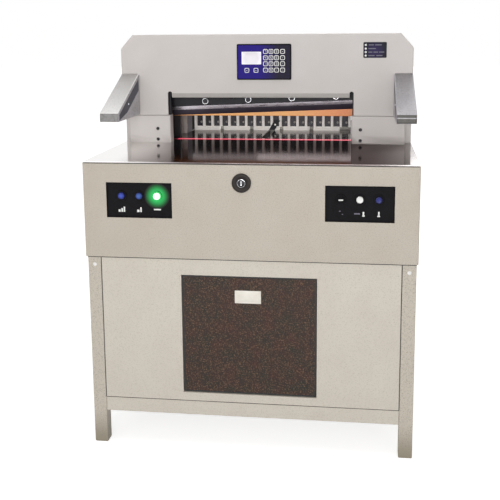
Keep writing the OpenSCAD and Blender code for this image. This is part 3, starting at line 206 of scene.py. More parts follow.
# painted light: the cabinet's sheets wear the hood's coat again, their tone set by how light falls on them,
# paler than the apron
cabinetCoat = makeFinish("powder_coat_cabinet", "#CBC4B8", "#C7BFB3", powder, fleck=("#ADA598", 0.6))
# painted shade: the hem's coat is set darker, because its real face leans down, so less light lies on it
hemShadedCoat = makeFinish(
    "powder_coat_hem_painted_shade", "#ADA8A4", "#A5A09C", powder, fleck=("#98928E", 0.5), patch=60, lift=0.10)
# painted light: the arms' coat made nearly white, the lit copy that the left arm wears
armLitCoat = makeFinish(
    "powder_coat_arms_painted_light", "#F1EFED", "#EBE9E7", powder, fleck=("#C4C1BF", 0.6), patch=70, grain=4.0,
    rough=(0.40, 0.55))
# hammered enamel with dimples 4 mm apart, set darker as painted shade on the arms' inner sides and on the
# right arm, and darker still on the ends that look forward
armHammerShaded = makeFinish(
    "hammered_enamel_arms_painted_shade", "#BFBCC0", "#B3B0B4", hammered, fleck=("#88858A", 0.8), patch=30)
tipShadeEnamel = makeFinish(
    "hammered_enamel_tips_painted_shade", "#8C8A89", "#7E7C7B", hammered, fleck=("#5E5C5A", 0.8), patch=20)
# painted shade: the right arm's forward end is darker still
bandShadeEnamel = makeFinish(
    "hammered_enamel_band_painted_shade", "#484640", "#3C3A36", hammered, fleck=("#6A6862", 0.6), patch=12)
# wrinkle enamel on the door: black-brown, with a crawling relief and paler crests; its 2 mm wrinkles
# are drawn at 4 mm
doorEnamel = makeFinish(
    "wrinkle_enamel_door", "#3D2A26", "#2B2A25", fleck=("#82654E", 0.65), patch=40, grain=4.0, lift=0.5,
    rough=(0.42, 0.64), gloss=0.2)
# ground and polished tool steel: a near mirror with faint lengthwise lines; darker in the middle and pale
# towards the ends, as painted reflections of the dark throat in the middle and of the brighter room and
# covers to the sides
tableSteelReflected = makeFinish(
    "polished_table_steel_painted_reflection", "#716867", "#F0EEEC", polished, rough=(0.06, 0.12),
    spread=((100, 0, 0), (1, 0, 0), 260, 560), edge="#9A9191")
rearSteel = makeFinish(
    "polished_rear_table_steel", "#A5A09E", "#9A9593", polished, patch=160, rough=(0.08, 0.15),
    edge="#B4B0B0")
# surface-ground knife steel: bright with fine lines along the edge
knifeSteel = makeFinish("ground_knife_steel", "#B4AFB5", "#A19CA3", ground, rough=(0.22, 0.36), metal=1.0)
# the ground bevel under the knife's flat: its dark tone is a painted reflection of the dark throat that it
# faces
bevelSteelReflected = makeFinish("ground_bevel_steel_painted_reflection", "#4C4652", "#3A3540", ground, rough=(0.34, 0.48), metal=0.8)
# turned and drawn bright steel: clean and pale, with soft reflections
brightSteel = makeFinish("turned_bright_steel", "#C4C6C8", "#ABAEB1", bare, patch=25, rough=(0.20, 0.36))
# chemical black on machined steel: blue-black with an oily sheen
blackOxide = makeFinish(
    "black_oxide_steel", "#2A282C", "#1D1C20", bare, patch=18, grain=2.5, rough=(0.28, 0.46), metal=0.6)
# stoved enamel on the knife bar: smooth and nearly black
barBlack = makeFinish(
    "black_enamel_knife_bar", "#1A1720", "#141218", patch=60, grain=3.0, lift=0.05, rough=(0.34, 0.5),
    gloss=0.2)
# sprayed orange enamel on the clamp casting, redder towards its right end, its pale tone partly painted
# light; its faint glow and the comb's are painted light that stands for a work lamp under the bridge
clampEnamel = makeFinish(
    "orange_enamel_clamp", "#F6B066", "#F08C50", fleck=("#F8BE7C", 0.4), grain=6.0,
    spread=((-360, 0, 0), (1, 0, 0), 420, 690), lift=0.15, rough=(0.34, 0.5), glow=0.12)
# sand-cast iron: rough mid grey with paler grains
castIron = makeFinish(
    "cast_iron_bed", "#6F7274", "#5F6264", fleck=("#8A8D8E", 0.5), patch=30, grain=3.5, lift=0.25,
    rough=(0.45, 0.65), metal=0.5)
# dull dark enamel on the frames, set darker still as painted shade, which keeps the throat dark
frameEnamel = makeFinish(
    "dark_enamel_frame", "#2C2A30", "#242228", fleck=("#3C3A40", 0.4), patch=45, grain=4.0, lift=0.12,
    rough=(0.42, 0.58), gloss=0.3)
# galvanised sheet with its cloudy spangle
zincSheet = makeFinish(
    "galvanised_sheet", "#9A9894", "#85837F", bare, patch=22, grain=8.0, rough=(0.32, 0.5), metal=0.9)
# die-cast aluminium fingers of the back gauge, pale and satin, with a faint glow that is painted light
combAlloyGlowing = makeFinish(
    "satin_alloy_comb", "#F2F0EC", "#EAE7E3", patch=30, grain=3.0, lift=0.04, rough=(0.34, 0.48), glow=0.15)
# white nylon gliders, with a glow that is painted light
padNylonGlowing = makeFinish(
    "white_nylon_pad", "#FAF8F2", "#F1EEE7", nylon, patch=25, grain=2.0, rough=(0.35, 0.5), glow=0.35)
# sprayed enamel on the gauge's carriage, and on the back cover's lips a darker grey that is painted shade for
# the throat: plain greys with a slight orange peel
lipShadeEnamel = makeFinish("grey_enamel_lips_painted_shade", "#75717C", "#6A6670", sprayed)
carriageEnamel = makeFinish("grey_enamel_carriage", "#A29F9B", "#96938F", sprayed)
# extruded red nylon of the cutting stick, lit from within by the line lamp that marks the cut
stickNylon = makeFinish("red_nylon_stick", "#D8305A", "#C52448", nylon, rough=(0.3, 0.45), glow=0.5)
# moulded ABS of the button panels: black and nearly matt
panelPlastic = makeFinish(
    "moulded_black_abs", "#161517", "#121113", moulded, fleck=("#222023", 0.4), rough=(0.48, 0.62),
    gloss=0.06)
# smoked acrylic in front of the light beams: dark, even and blue-grey
smokedAcrylic = makeFinish(
    "smoked_acrylic", "#34384A", "#2A2D3C", glassy, patch=40, grain=5.0, rough=(0.30, 0.42), gloss=0.2)
# the beams' own lamps, small and white
beamLamp = makeFinish("beam_lamp", "#F6F6FA", "#E8ECF6", glassy, patch=5, glow=0.8)
# chrome on the lock: a clean mirror
chrome = makeFinish("chrome_plate", "#DCDDDF", "#CFD1D4", glassy, patch=12, rough=(0.06, 0.12), metal=1.0)
# dyed acrylic lenses, a little brighter where the lamp stands behind their middle
buttonRise = 861
leftLens = makeFinish(
    "blue_acrylic_lens_left", "#3A4FB4", "#232C78", dyed, gloss=0.25, glow=0.06,
    spread=acrossFront(-413.5, buttonRise, 2, 11))
middleLens = makeFinish(
    "blue_acrylic_lens_middle", "#3E60A8", "#22306E", dyed, gloss=0.25, glow=0.06,
    spread=acrossFront(-354.5, buttonRise, 2, 11))
rightLens = makeFinish(
    "navy_acrylic_lens", "#1E2878", "#13174C", dyed, gloss=0.2, glow=0.03,
    spread=acrossFront(413.5, buttonRise, 2, 11))
whiteLens = makeFinish(
    "white_acrylic_lens", "#E6E6E3", "#D2D2CD", dyed, rough=(0.15, 0.25), coat=0.2, glow=0.02,
    spread=acrossFront(354.5, buttonRise, 3, 12))
greenLens = makeFinish(
    "lit_green_acrylic_lens", "#FBFFFB", "#46C070", dyed, rough=(0.15, 0.25), glow=1.0,
    spread=acrossFront(-295.5, buttonRise, 9, 14))
# the same black plastic round it, where the lamp's light spills over it
greenSpill = makeFinish(
    "green_light_on_abs", "#2FB25A", "#131614", moulded, rough=(0.45, 0.6), gloss=0.15,
    spread=acrossFront(-295.5, buttonRise, 8, 42), glow=0.5)
# printed polyester film of the keypad, blue-violet that runs to black on the right
keypadFilm = makeFinish(
    "printed_polyester_film", "#21117C", "#191520", printed, fleck=("#33258A", 0.25),
    spread=((-100, 0, 0), (1, 0, 0), 70, 160))
indicatorFilm = makeFinish(
    "printed_film_indicator", "#2E264C", "#1B1821", printed, spread=acrossFront(400, 1310, 8, 45))
# backlit liquid crystal, washed out by its own lamp, greyer towards the middle
lcdGlass = makeFinish(
    "backlit_lcd_glass", "#E2DFE4", "#F0EDF6", glassy, grain=1.5, gloss=0.2, glow=0.2,
    spread=acrossFront(-46, 1287, 22, 34))
# flat silkscreen ink of the printed marks
inkGrey = makeFinish("grey_silkscreen_ink", "#6C6878", "#5E5A68", ink)
inkWhite = makeFinish("white_silkscreen_ink", "#ECECEA", "#DEDEDA", ink)
# moulded plastic round the lock, a warm black
lockPlastic = makeFinish(
    "moulded_lock_rosette", "#231D1B", "#1D1816", fleck=("#322B28", 0.4), patch=14, grain=3.0, lift=0.05,
    rough=(0.38, 0.52), gloss=0.2)
# paper label under a film: cream with a slight sheen
labelPaper = makeFinish(
    "coated_label_paper", "#E6E1D8", "#DED8CD", patch=14, grain=2.5, lift=0.02, rough=(0.3, 0.45))
# sprayed enamel on the hydraulic unit and the motors: plain blue-greys and a soft black
tankEnamel = makeFinish(
    "grey_enamel_tank", "#7F848A", "#72777D", sprayed, patch=50, grain=4.0, rough=(0.36, 0.52))
motorEnamel = makeFinish("blue_grey_enamel_motor", "#62707F", "#566371", sprayed, lift=0.12)
motorBlack = makeFinish("black_enamel_motor", "#2E3034", "#26282C", sprayed, patch=30, rough=(0.36, 0.52))
# moulded rubber: dull, with nothing that shines
rubber = makeFinish(
    "moulded_rubber", "#242424", "#1B1B1B", patch=10, grain=2.0, lift=0.05, rough=(0.6, 0.8))
print("finishes ready")


# shells: points with their quads and fans, all from whole arrays

facing = {      # right, up and outwards of a face, for someone who looks straight at it
    "front": ((1, 0, 0), (0, 0, 1), (0, -1, 0)),
    "back": ((-1, 0, 0), (0, 0, 1), (0, 1, 0)),
    "left": ((0, -1, 0), (0, 0, 1), (-1, 0, 0)),
    "right": ((0, 1, 0), (0, 0, 1), (1, 0, 0)),
    "top": ((1, 0, 0), (0, 1, 0), (0, 0, 1)),
}


def shellOf(rings, looped=False):
    # quads join each ring of points to the next; a fan round the mean point closes each end, or the last ring
    # meets the first
    count, spokes, _ = rings.shape
    ring, spoke = np.meshgrid(np.arange(count - (not looped)), np.arange(spokes), indexing="ij")
    after, above = (spoke + 1) % spokes, (ring + 1) % count
    quads = np.stack([ring * spokes + spoke, ring * spokes + after,
                      above * spokes + after, above * spokes + spoke], -1).reshape(-1, 4)
    points, fans = [rings.reshape(-1, 3)], [np.zeros((0, 3), int)]
    around = np.arange(spokes)
    onward = (around + 1) % spokes
    for end, pair in enumerate(() if looped else ((onward, around), (around, onward))):
        first = end * (count - 1) * spokes
        points.append(rings[-end].mean(0)[None])
        fans.append(np.stack([first + pair[0], first + pair[1], np.full(spokes, count * spokes + end)], -1))
    return {"points": np.concatenate(points), "quads": quads, "fans": np.concatenate(fans)}


def laid(flat, rise, centre, side):
    # flat offsets run right and up, rise runs outwards, all in mm from the centre
    right, up, out = np.array(facing[side], float)
    return mm * (np.array(centre) + flat[..., :1] * right + flat[..., 1:] * up + rise[:, None, None] * out)


def polar(radius, angle):
    # right is the radius times the cosine, up the radius times the sine
    return np.stack([radius * np.cos(angle), radius * np.sin(angle)], -1)


def stepped(radius, rise, *steps):
    # rows of a profile, each step added to the same radius and rise
    return [(radius + out, rise + up) for out, up in steps]


def turned(profile, centre=(0, 0, 0), side="front", spokes=48, looped=False):
    # each (radius, rise, sides) row is swept once round; a row with sides is that polygon, not a circle
    rows = np.array([(*row, 0)[:3] for row in profile], float)
    angle = np.arange(spokes) * 2 * np.pi / spokes
    sides = np.maximum(rows[:, 2:], 3)
    flats = np.cos(np.pi / sides) / np.cos(np.mod(angle, 2 * np.pi / sides) - np.pi / sides)
    radius = rows[:, :1] * np.where(rows[:, 2:] > 0, flats, 1.0)
    return shellOf(laid(polar(radius, angle), rows[:, 1], centre, side), looped)


def ribbed(radius, depth, ribs, start, stop, centre, side):
    # a drum whose radius drops by depth in the gaps between its ribs, four points to a rib
    angle = np.arange(4 * ribs) * np.pi / 2 / ribs
    flat = polar(radius - depth * np.tile([0.0, 0.0, 1.0, 1.0], ribs), angle)
    return shellOf(laid(np.stack([flat, flat]), np.array([start, stop], float), centre, side))


def threaded(radius, depth, lead, starts, length, centre, side, spokes=24, rows=6, steep=1.6):
    # radius as a triangle wave of (rise / lead - turn) * starts, steepened so that crest and root are flat:
    # the crest climbs one lead in a turn
    rise = np.linspace(0, length, int(rows * length * starts / lead) + 1)
    turn = np.arange(spokes) / spokes
    wave = np.abs(np.mod((rise[:, None] / lead - turn) * starts, 1.0) * 2 - 1)
    reach = radius - depth * np.clip(steep * (wave - 0.5) + 0.5, 0, 1)
    return shellOf(laid(polar(reach, 2 * np.pi * turn), rise, centre, side))


def bars(rows, low, high, centre=(0, 0, 0), side="front"):
    # one closed box for each (right, up, width, height) row, from low to high outwards, in mm from the centre
    right, up, width, height = np.array(rows, float).T[..., None]
    corners = np.array([(-0.5, -0.5), (0.5, -0.5), (0.5, 0.5), (-0.5, 0.5)]).T
    flat = np.stack([right + width * corners[0], up + height * corners[1]], -1)
    axes = np.array(facing[side], float)
    level = np.array([low, high], float)[:, None, None] * axes[2]
    points = mm * (np.array(centre) + (flat @ axes[:2])[:, None] + level)
    box = np.array([(0, 1, 5, 4), (1, 2, 6, 5), (2, 3, 7, 6), (3, 0, 4, 7), (3, 2, 1, 0), (4, 5, 6, 7)])
    quads = (8 * np.arange(len(rows))[:, None, None] + box).reshape(-1, 4)
    return {"points": points.reshape(-1, 3), "quads": quads, "fans": np.zeros((0, 3), int)}


def plate(width, height, bend, layers, centre=(0, 0, 0), steps=6):
    # at each (inset, rise) layer a rounded rectangle: four quarter circles joined by straight runs
    inset, rise = np.array(layers, float).T
    angle = np.arange(4)[:, None] * np.pi / 2 + np.linspace(0, np.pi / 2, steps)
    sign = np.array([(1, 1), (-1, 1), (-1, -1), (1, -1)], float)
    radius = np.maximum(bend - inset, 0.05)
    half = np.stack([width / 2 - inset - radius, height / 2 - inset - radius], -1)
    flat = sign[None, :, None] * half[:, None, None] + polar(radius[:, None, None], angle)
    return shellOf(laid(flat.reshape(len(rise), -1, 2), rise, centre, "front"))


def repeated(shell, shifts):
    # the same shell again at each shift, in mm
    shifts = np.array(shifts, float).reshape(-1, 3) * mm
    step = np.arange(len(shifts))[:, None, None] * len(shell["points"])
    return {"points": (shifts[:, None] + shell["points"]).reshape(-1, 3),
            "quads": (step + shell["quads"]).reshape(-1, 4), "fans": (step + shell["fans"]).reshape(-1, 3)}


def pulled(items, key, width, kind=np.float32):
    # one property of all vertices, edges or faces, a row for each
    values = np.empty(len(items) * width, kind)
    items.foreach_get(key, values)
    return values.reshape(-1, width)


softening = {"crease": 35, "sharp": 30, "folded": 20, "flat": 0.5,      # degrees between two faces
             "weld": 1e-6, "slack": 0.1}        # m between merged points, mm that a fold's box gives


def seat(name, mesh, body, stands):
    # the mesh as an object that rides a body and stands in for CAD nodes
    piece = bpy.data.objects.new(name, mesh)
    scene.collection.objects.link(piece)
    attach(piece, body)
    if stands:
        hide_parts(*stands)
    return piece


def putPiece(name, shells, body="frame", stands=()):
    # one mesh from (shell, finish) pairs, with one material slot for each finish
    finishes = list(dict.fromkeys(finish for _, finish in shells))
    points, faces, marks = [], [], []
    for shell, finish in shells:
        for part in (shell["quads"], shell["fans"]):
            faces += (part + len(points)).tolist()
            marks += [finishes.index(finish)] * len(part)
        points += shell["points"].tolist()
    mesh = bpy.data.meshes.new(name)
    mesh.from_pydata(points, [], faces, shade_flat=False)
    mesh.polygons.foreach_set("material_index", marks)
    mesh.set_sharp_from_angle(angle=math.radians(softening["crease"]))
    for finish in finishes:
        mesh.materials.append(finish)
    seat(name, mesh, body, stands)


def softNode(node, finish, edge, folds=(), paint=(), segments=3, cuts=()):
    # a merged copy of a CAD node: every sharp edge is rounded by edge mm, and one that lies inside a fold's
    # box by that fold's radius; paint gives the faces whose middle and normal pass a test another finish;
    # cuts are heights that split long faces beside a hole, so that none gets a sliver
    source = frame["nodes"][node]
    form = bmesh.new()
    form.from_mesh(source.data)
    weld, slack = softening["weld"], softening["slack"]
    sharp, folded, flat = (math.radians(softening[key]) for key in ("sharp", "folded", "flat"))
    bmesh.ops.remove_doubles(form, verts=form.verts, dist=weld)
    bmesh.ops.dissolve_limit(form, angle_limit=flat, verts=form.verts, edges=form.edges)
    for height in cuts:
        bmesh.ops.bisect_plane(form, geom=[*form.verts, *form.edges, *form.faces], dist=weld,
                               plane_co=(0, 0, height * mm), plane_no=(0, 0, 1))
    turn = np.array([line.calc_face_angle(0.0) for line in form.edges])
    mesh = bpy.data.meshes.new(node + "_soft")
    form.to_mesh(mesh)
    form.free()
    for leftover in ("custom_normal", "sharp_edge", "sharp_face"):
        if leftover in mesh.attributes:
            mesh.attributes.remove(mesh.attributes[leftover])
    ends = pulled(mesh.vertices, "co", 3)[pulled(mesh.edges, "vertices", 2, np.int32)] / mm
    radius = np.where(turn > sharp, edge, 0.0)
    for low, high, bend in folds:
        inside = ((ends >= low - slack) & (ends <= high + slack)).all((1, 2))
        radius[inside & (turn > folded)] = bend
    widest = max(radius.max(), 1e-3)
    weights = mesh.attributes.new("bevel_weight_edge", "FLOAT", "EDGE")
    weights.data.foreach_set("value", (radius / widest).astype(np.float32))
    mesh.materials.clear()
    mesh.materials.append(finish)
    marks = np.zeros(len(mesh.polygons), np.int32)
    middles, normals = pulled(mesh.polygons, "center", 3) / mm, pulled(mesh.polygons, "normal", 3)
    for test, other in paint:
        mesh.materials.append(other)
        marks[test(middles, normals)] = len(mesh.materials) - 1
    mesh.polygons.foreach_set("material_index", marks)
    mesh.polygons.foreach_set("use_smooth", np.ones(len(marks), bool))
    piece = seat(node + "_soft", mesh, source["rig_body"], (node,))
    bevel = piece.modifiers.new("rounded_edges", "BEVEL")
    bevel.limit_method = "WEIGHT"
    bevel.width = widest * mm
    bevel.segments = segments
    bevel.use_clamp_overlap = False
    bevel.harden_normals = True


def corner(node):
    # lowest and highest corners of a CAD node in mm
    low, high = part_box(node)
    return np.array(low) / mm, np.array(high) / mm


def sizeOf(node):
    # width, depth and height of a CAD node in mm
    low, high = corner(node)
    return high - low


def axisOf(node, depth=None):
    # middle x and z of a node, at its front or at another depth
    low, high = corner(node)
    return np.array([(low[0] + high[0]) / 2, low[1] if depth is None else depth, (low[2] + high[2]) / 2])


def fold(low, high, radius, **held):
    # the box between two corners, held along x, y or z to one value or to a pair, and its edges' radius
    ends = np.array([low, high], float)
    for axis, value in held.items():
        ends[:, "xyz".index(axis)] = value
    return *ends, radius


# cabinet, apron and table

cabinetEdges = {"tube": 3.0, "sheet": 0.6, "bend": 4.0, "jamb": 1.5, "door": 2.0, "table": 0.8}
apronLow, apronHigh = corner("apron")
panelLow, panelHigh = corner("front_panel")
doorLow, doorHigh = corner("access_door")
tableTop = corner("front_table")[1][2]
# pale plugs pressed into the holes of the front legs, a little below the face
holePlug = {"aside": (-512.5, 512.5), "rise": 628.0, "radius": 6.4, "below": 0.8, "rim": 0.5, "room": 9.0,
            "cut": 20.0}       # room: round a hole for its rim, cut: from its middle to a split
holeRise, room, cut = (holePlug[key] for key in ("rise", "room", "cut"))
plugRims = [fold(panelLow, panelHigh, holePlug["rim"], x=(x - room, x + room),
                 z=(holeRise - room, holeRise + room)) for x in holePlug["aside"]]
for node, coat in (("front_legs", legCoat), ("rear_legs", legCoat), ("bottom_rails", cabinetCoat)):
    softNode(node, coat, cabinetEdges["tube"], plugRims, cuts=(holeRise - cut, holeRise + cut))
for node in ("left_side_panel", "right_side_panel", "rear_panel"):
    softNode(node, cabinetCoat, cabinetEdges["sheet"])
jambGap = 3         # more than the gap round the door
softNode("front_panel", cabinetCoat, cabinetEdges["sheet"], [
    fold(doorLow - jambGap, doorHigh + jambGap, cabinetEdges["jamb"], y=panelLow[1])])
softNode("access_door", doorEnamel, cabinetEdges["sheet"], [
    fold(doorLow, doorHigh, cabinetEdges["door"], y=doorLow[1])])
softNode("apron", apronShadedCoat, cabinetEdges["sheet"], [
    fold(apronLow, apronHigh, cabinetEdges["bend"], x=x, y=apronLow[1]) for x in (apronLow[0], apronHigh[0])])
for node, steel in (("front_table", tableSteelReflected), ("rear_table", rearSteel)):
    softNode(node, steel, cabinetEdges["table"])
lineLight = {       # x and y of the cut, half its length, and how far light and core reach across it, in mm
    "middle": (-17.5, -63.0), "half": 336.0, "glow": (9, 24), "core": (1, 9),
    "outer": "#E0304F", "inner": "#F58A9C"}


def addStreak(finish, streak):
    # emission that is brightest on the cut, gone at the far end of its reach across, and only in the throat
    tree = finish.node_tree
    spot = addNode(tree, "SeparateXYZ", {0: addNode(tree, "TexCoord").outputs["Object"]})
    away = []
    for part, middle in zip(spot.outputs, streak["middle"]):
        part = addNode(tree, "Math", {0: part, 1: middle * mm}, operation="SUBTRACT").outputs[0]
        away.append(addNode(tree, "Math", {0: part}, operation="ABSOLUTE").outputs[0])
    along, across = away
    inside = addNode(tree, "Math", {0: along, 1: streak["half"] * mm}, operation="LESS_THAN").outputs[0]
    glow, core = (addNode(tree, "MapRange", {0: across, 1: near * mm, 2: far * mm, 3: 1.0, 4: 0.0},
                          interpolation_type="SMOOTHSTEP").outputs[0]
                  for near, far in (streak["glow"], streak["core"]))
    ends = {6: linear(streak["outer"]), 7: linear(streak["inner"])}
    colour = addNode(tree, "Mix", {0: core, **ends}, data_type="RGBA").outputs[2]
    strength = addNode(tree, "Math", {0: glow, 1: inside}, operation="MULTIPLY").outputs[0]
    shader = tree.nodes["Principled BSDF"]
    tree.links.new(colour, shader.inputs["Emission Color"])
    tree.links.new(strength, shader.inputs["Emission Strength"])


for steel in (tableSteelReflected, rearSteel):
    addStreak(steel, lineLight)
legLow, legHigh = corner("front_legs")
plugRows = stepped(holePlug["radius"], -holePlug["below"],
                   (0, -3.2), (0, -0.5), (-0.6, 0), (-1.6, -0.1), (-2.4, -1.1), (-4.9, -1.6))
plugPlaces = [(x, legLow[1], holeRise) for x in holePlug["aside"]]
putPiece("leg_plugs", [(repeated(turned(plugRows, spokes=32), plugPlaces), armLitCoat)])
# painted shadow: dark strips in the seams of the cabinet front and under the table's edge, where shadow lines
# lie: right, up, width, height
seam = {"wide": 2.4, "deep": -1.0, "proud": 0.6, "aside": 489.5, "footWide": 1.6,
        "apronWide": 3.2, "apronDrop": 1.8, "edgeShort": 8.0}
stripDepth = seam["deep"], seam["proud"]
seamRows = [*((x, axisOf("front_panel")[2], seam["wide"], sizeOf("front_panel")[2])
              for x in (-seam["aside"], seam["aside"])),
            (0, apronLow[2] - seam["apronDrop"], 2 * legHigh[0], seam["apronWide"]),
            (0, panelLow[2], 2 * seam["aside"], seam["footWide"])]
edgeRow = (0, apronHigh[2] - seam["wide"] / 2, sizeOf("apron")[0] - seam["edgeShort"], seam["wide"])
putPiece("seam_shadow_strips", [(bars(seamRows, *stripDepth, (0, panelLow[1], 0)), rubber),
                        (bars([edgeRow], *stripDepth, (0, apronLow[1], 0)), rubber)])
# nodes that are only rounded: name, finish, edge in mm
for row in (("bed_casting", castIron, 2.0), ("floor_pan", zincSheet, 0.8), ("door_pins", brightSteel, 0.5),
            ("cutting_stick", stickNylon, 0.6)):
    softNode(*row)
print("cabinet and table dressed")


# hood, covers and guard arms

hoodEdges = {"sheet": 0.6, "front": 4.0, "bend": 6.0, "bridge": 9.0, "cover": 3.0, "coverFold": 8.0,
             "armRim": 1.0, "arm": 3.0, "armTip": 6.0, "window": 0.6}
hoodLevels = {"bridge": 169.0, "shoulder": 50.0}        # above the table, below the top
within = np.array([-1, 1])          # a level is met within 1 mm
hoodLow, hoodHigh = corner("hood_shell")
hoodEnds, hoodFront, hoodTop = (hoodLow[0], hoodHigh[0]), hoodLow[1], hoodHigh[2]
throatLow, throatHigh = corner("left_lower_cover")[1], corner("right_lower_cover")[0]
coverTop = throatLow[2]
bridge = tableTop + hoodLevels["bridge"]
shoulder = hoodTop - hoodLevels["shoulder"]         # where the slanted top corners begin
softNode("hood_shell", hoodCoat, hoodEdges["sheet"], [
    *(fold(hoodLow, hoodHigh, hoodEdges["front"], x=x, y=hoodFront, z=(coverTop, hoodTop)) for x in hoodEnds),
    fold(hoodLow, hoodHigh, hoodEdges["front"], y=hoodFront, z=(shoulder - 1, hoodTop)),
    *(fold(hoodLow, hoodHigh, hoodEdges["bend"], x=x, z=shoulder + within) for x in hoodEnds),
    fold(throatLow, throatHigh, hoodEdges["bridge"], y=hoodFront, z=bridge + within)], segments=4)
lipStart = hoodHigh[1] + within[1]          # behind the hood's own faces
# the lips behind the hood's own faces take the painted shade
softNode("hood_back_cover", hoodCoat, hoodEdges["sheet"], paint=[
    (lambda middle, normal: middle[:, 1] > lipStart, lipShadeEnamel)])
for node, inner in (("left_lower_cover", throatLow[0]), ("right_lower_cover", throatHigh[0])):
    low, high = corner(node)
    softNode(node, hoodCoat, hoodEdges["sheet"], [
        fold(low, high, hoodEdges["cover"], y=low[1]), fold(low, high, 0.0, y=low[1], z=low[2]),
        fold(low, high, hoodEdges["coverFold"], x=inner, y=low[1])],
        segments=4, cuts=[axisOf("cover_screws")[2]])
# folded hem along the bridge, between the two relief slots
hem = {"height": 16.0, "rise": 2.2, "round": 1.0, "slots": 17.0, "lift": 0.5}
hemWidth, hemMiddle = throatHigh[0] - throatLow[0] - hem["slots"], (throatLow[0] + throatHigh[0]) / 2
hemRows = [(0, -1.5), *stepped(0, hem["rise"], (0, -0.9), (0.3, -0.3), (1.2, 0))]
hemCentre = (hemMiddle, hoodFront, bridge + hem["height"] / 2 + hem["lift"])
hemShell = plate(hemWidth, hem["height"], hem["round"], hemRows, hemCentre)
putPiece("bridge_hem", [(hemShell, hemShadedCoat)])
windowLow, windowHigh = corner("guard_windows")
windowSpan = np.array([windowLow[1], windowHigh[1]]) + within
# painted shade on each arm's inner side and on the end that looks forward, and on the right arm a painted
# highlight: a pale line across that end
armPaint = {"inward": 0.7, "ahead": 0.8,        # least part of a unit normal that points that way
            "lineRise": 125.0, "lineHalf": 1.6}     # middle of the line above the table, half its height
lineHeight, lineHalf = tableTop + armPaint["lineRise"], armPaint["lineHalf"]
for node, coat, inward, tip, line in (("left_guard_arm", armLitCoat, 1, tipShadeEnamel, tipShadeEnamel),
                                      ("right_guard_arm", armHammerShaded, -1, bandShadeEnamel, armHammerShaded)):
    low, high = corner(node)
    softNode(node, coat, hoodEdges["armRim"], [
        *(fold(low, high, hoodEdges["arm"], x=x) for x in (low[0], high[0])),
        fold(low, high, hoodEdges["armTip"], y=low[1]), fold(low, high, 0.0, y=high[1]),
        fold(low, high, hoodEdges["window"], y=windowSpan)], [
        (lambda middle, normal: inward * normal[:, 0] > armPaint["inward"], armHammerShaded),
        (lambda middle, normal: normal[:, 1] < -armPaint["ahead"], tip),
        (lambda middle, normal: (normal[:, 1] < -armPaint["ahead"])
         & (abs(middle[:, 2] - lineHeight) < lineHalf), line)],
        segments=4, cuts=lineHeight + lineHalf * within)
for row in (("guard_windows", smokedAcrylic, 0.5), ("left_side_frame", frameEnamel, 1.0),
            ("right_side_frame", frameEnamel, 1.0), ("top_beam", frameEnamel, 1.0)):
    softNode(*row)
print("hood and arms dressed")


# knife, clamp and gauge

knifeEdges = {"bar": 1.2, "blade": 0.15, "bevel": 0.2}      # bevel: least lean of its face, ahead and down
softNode("knife_bar", barBlack, knifeEdges["bar"])
# the blade's faces that lean ahead and down take the bevel's painted reflection
softNode("knife_blade", knifeSteel, knifeEdges["blade"], paint=[
    (lambda middle, normal: (normal[:, 1:] < -knifeEdges["bevel"]).all(1), bevelSteelReflected)])
for row in (("clamp_beam", clampEnamel, 2.0), ("clamp_yoke", brightSteel, 1.0),
            ("knife_slider", brightSteel, 1.0), ("knife_rod", brightSteel, 0.8),
            ("guide_roller", brightSteel, 1.0)):
    softNode(*row)
combSetup = {"padHeight": 15.0, "bars": 19, "pitch": 36.0, "bar": 10.0, "screwRise": 33.0, "screwAside": 5.0,
             "edge": 0.8, "backing": 0.5, "lap": 0.1}       # how far the paint of backing and pads reaches
combLow, combHigh = corner("gauge_comb")
padTop, combMiddle = combLow[2] + combSetup["padHeight"], (combLow[1] + combHigh[1]) / 2
softNode("gauge_comb", combAlloyGlowing, combSetup["edge"], paint=[
    (lambda middle, normal: (abs(middle[:, 1] - combMiddle) < combSetup["backing"])
     & (middle[:, 2] > padTop), blackOxide),
    (lambda middle, normal: middle[:, 2] < padTop + combSetup["lap"], padNylonGlowing)])
softNode("gauge_carriage", carriageEnamel, 1.0)


def socketHead(radius, rise, socket, deep):
    # rows of a cylinder head: chamfered rim, flat face, six-sided socket
    return [(radius - 0.3, -0.4), (radius, 0), (radius, rise - 0.7), (radius - 0.7, rise),
            (socket + 0.4, rise), (socket, rise - 0.4, 6), (0.97 * socket, rise - deep, 6)]


def heads(node, gap=40.0, skin=0.05):
    # middles of the heads at a node's front: its points within a skin of the foremost, split where x jumps
    # by more than the gap
    points = pulled(frame["nodes"][node].data.vertices, "co", 3) / mm
    front = points[points[:, 1] < points[:, 1].min() + skin]
    front = front[np.argsort(front[:, 0])]
    groups = np.split(front, np.flatnonzero(np.diff(front[:, 0]) > gap) + 1)
    return [(group.min(0) + group.max(0)) / 2 for group in groups]


# a bright collar round a dark socket screw
knifeBolt = {"radius": 12.0, "inner": 9.4, "head": 8.0, "sunk": 3.6}
boltCore = {"radius": knifeBolt["inner"] - 0.1, "rise": 3.0, "socket": 4.8, "deep": 4.5}
collarRows = [*stepped(knifeBolt["radius"], 0, (0, -knifeBolt["head"]), (0, -1.0), (-0.9, 0)),
              *stepped(knifeBolt["inner"], 0, (0.5, 0), (0, -0.6), (0, -6.0))]
coreRows = [(radius, rise - knifeBolt["sunk"], *rest) for radius, rise, *rest in socketHead(**boltCore)]
putPiece("knife_bolts_socket", [
    (repeated(turned(rows), heads("knife_bolts")), finish)
    for rows, finish in ((collarRows, brightSteel), (coreRows, blackOxide))],
    "knife", ["knife_bolts"])

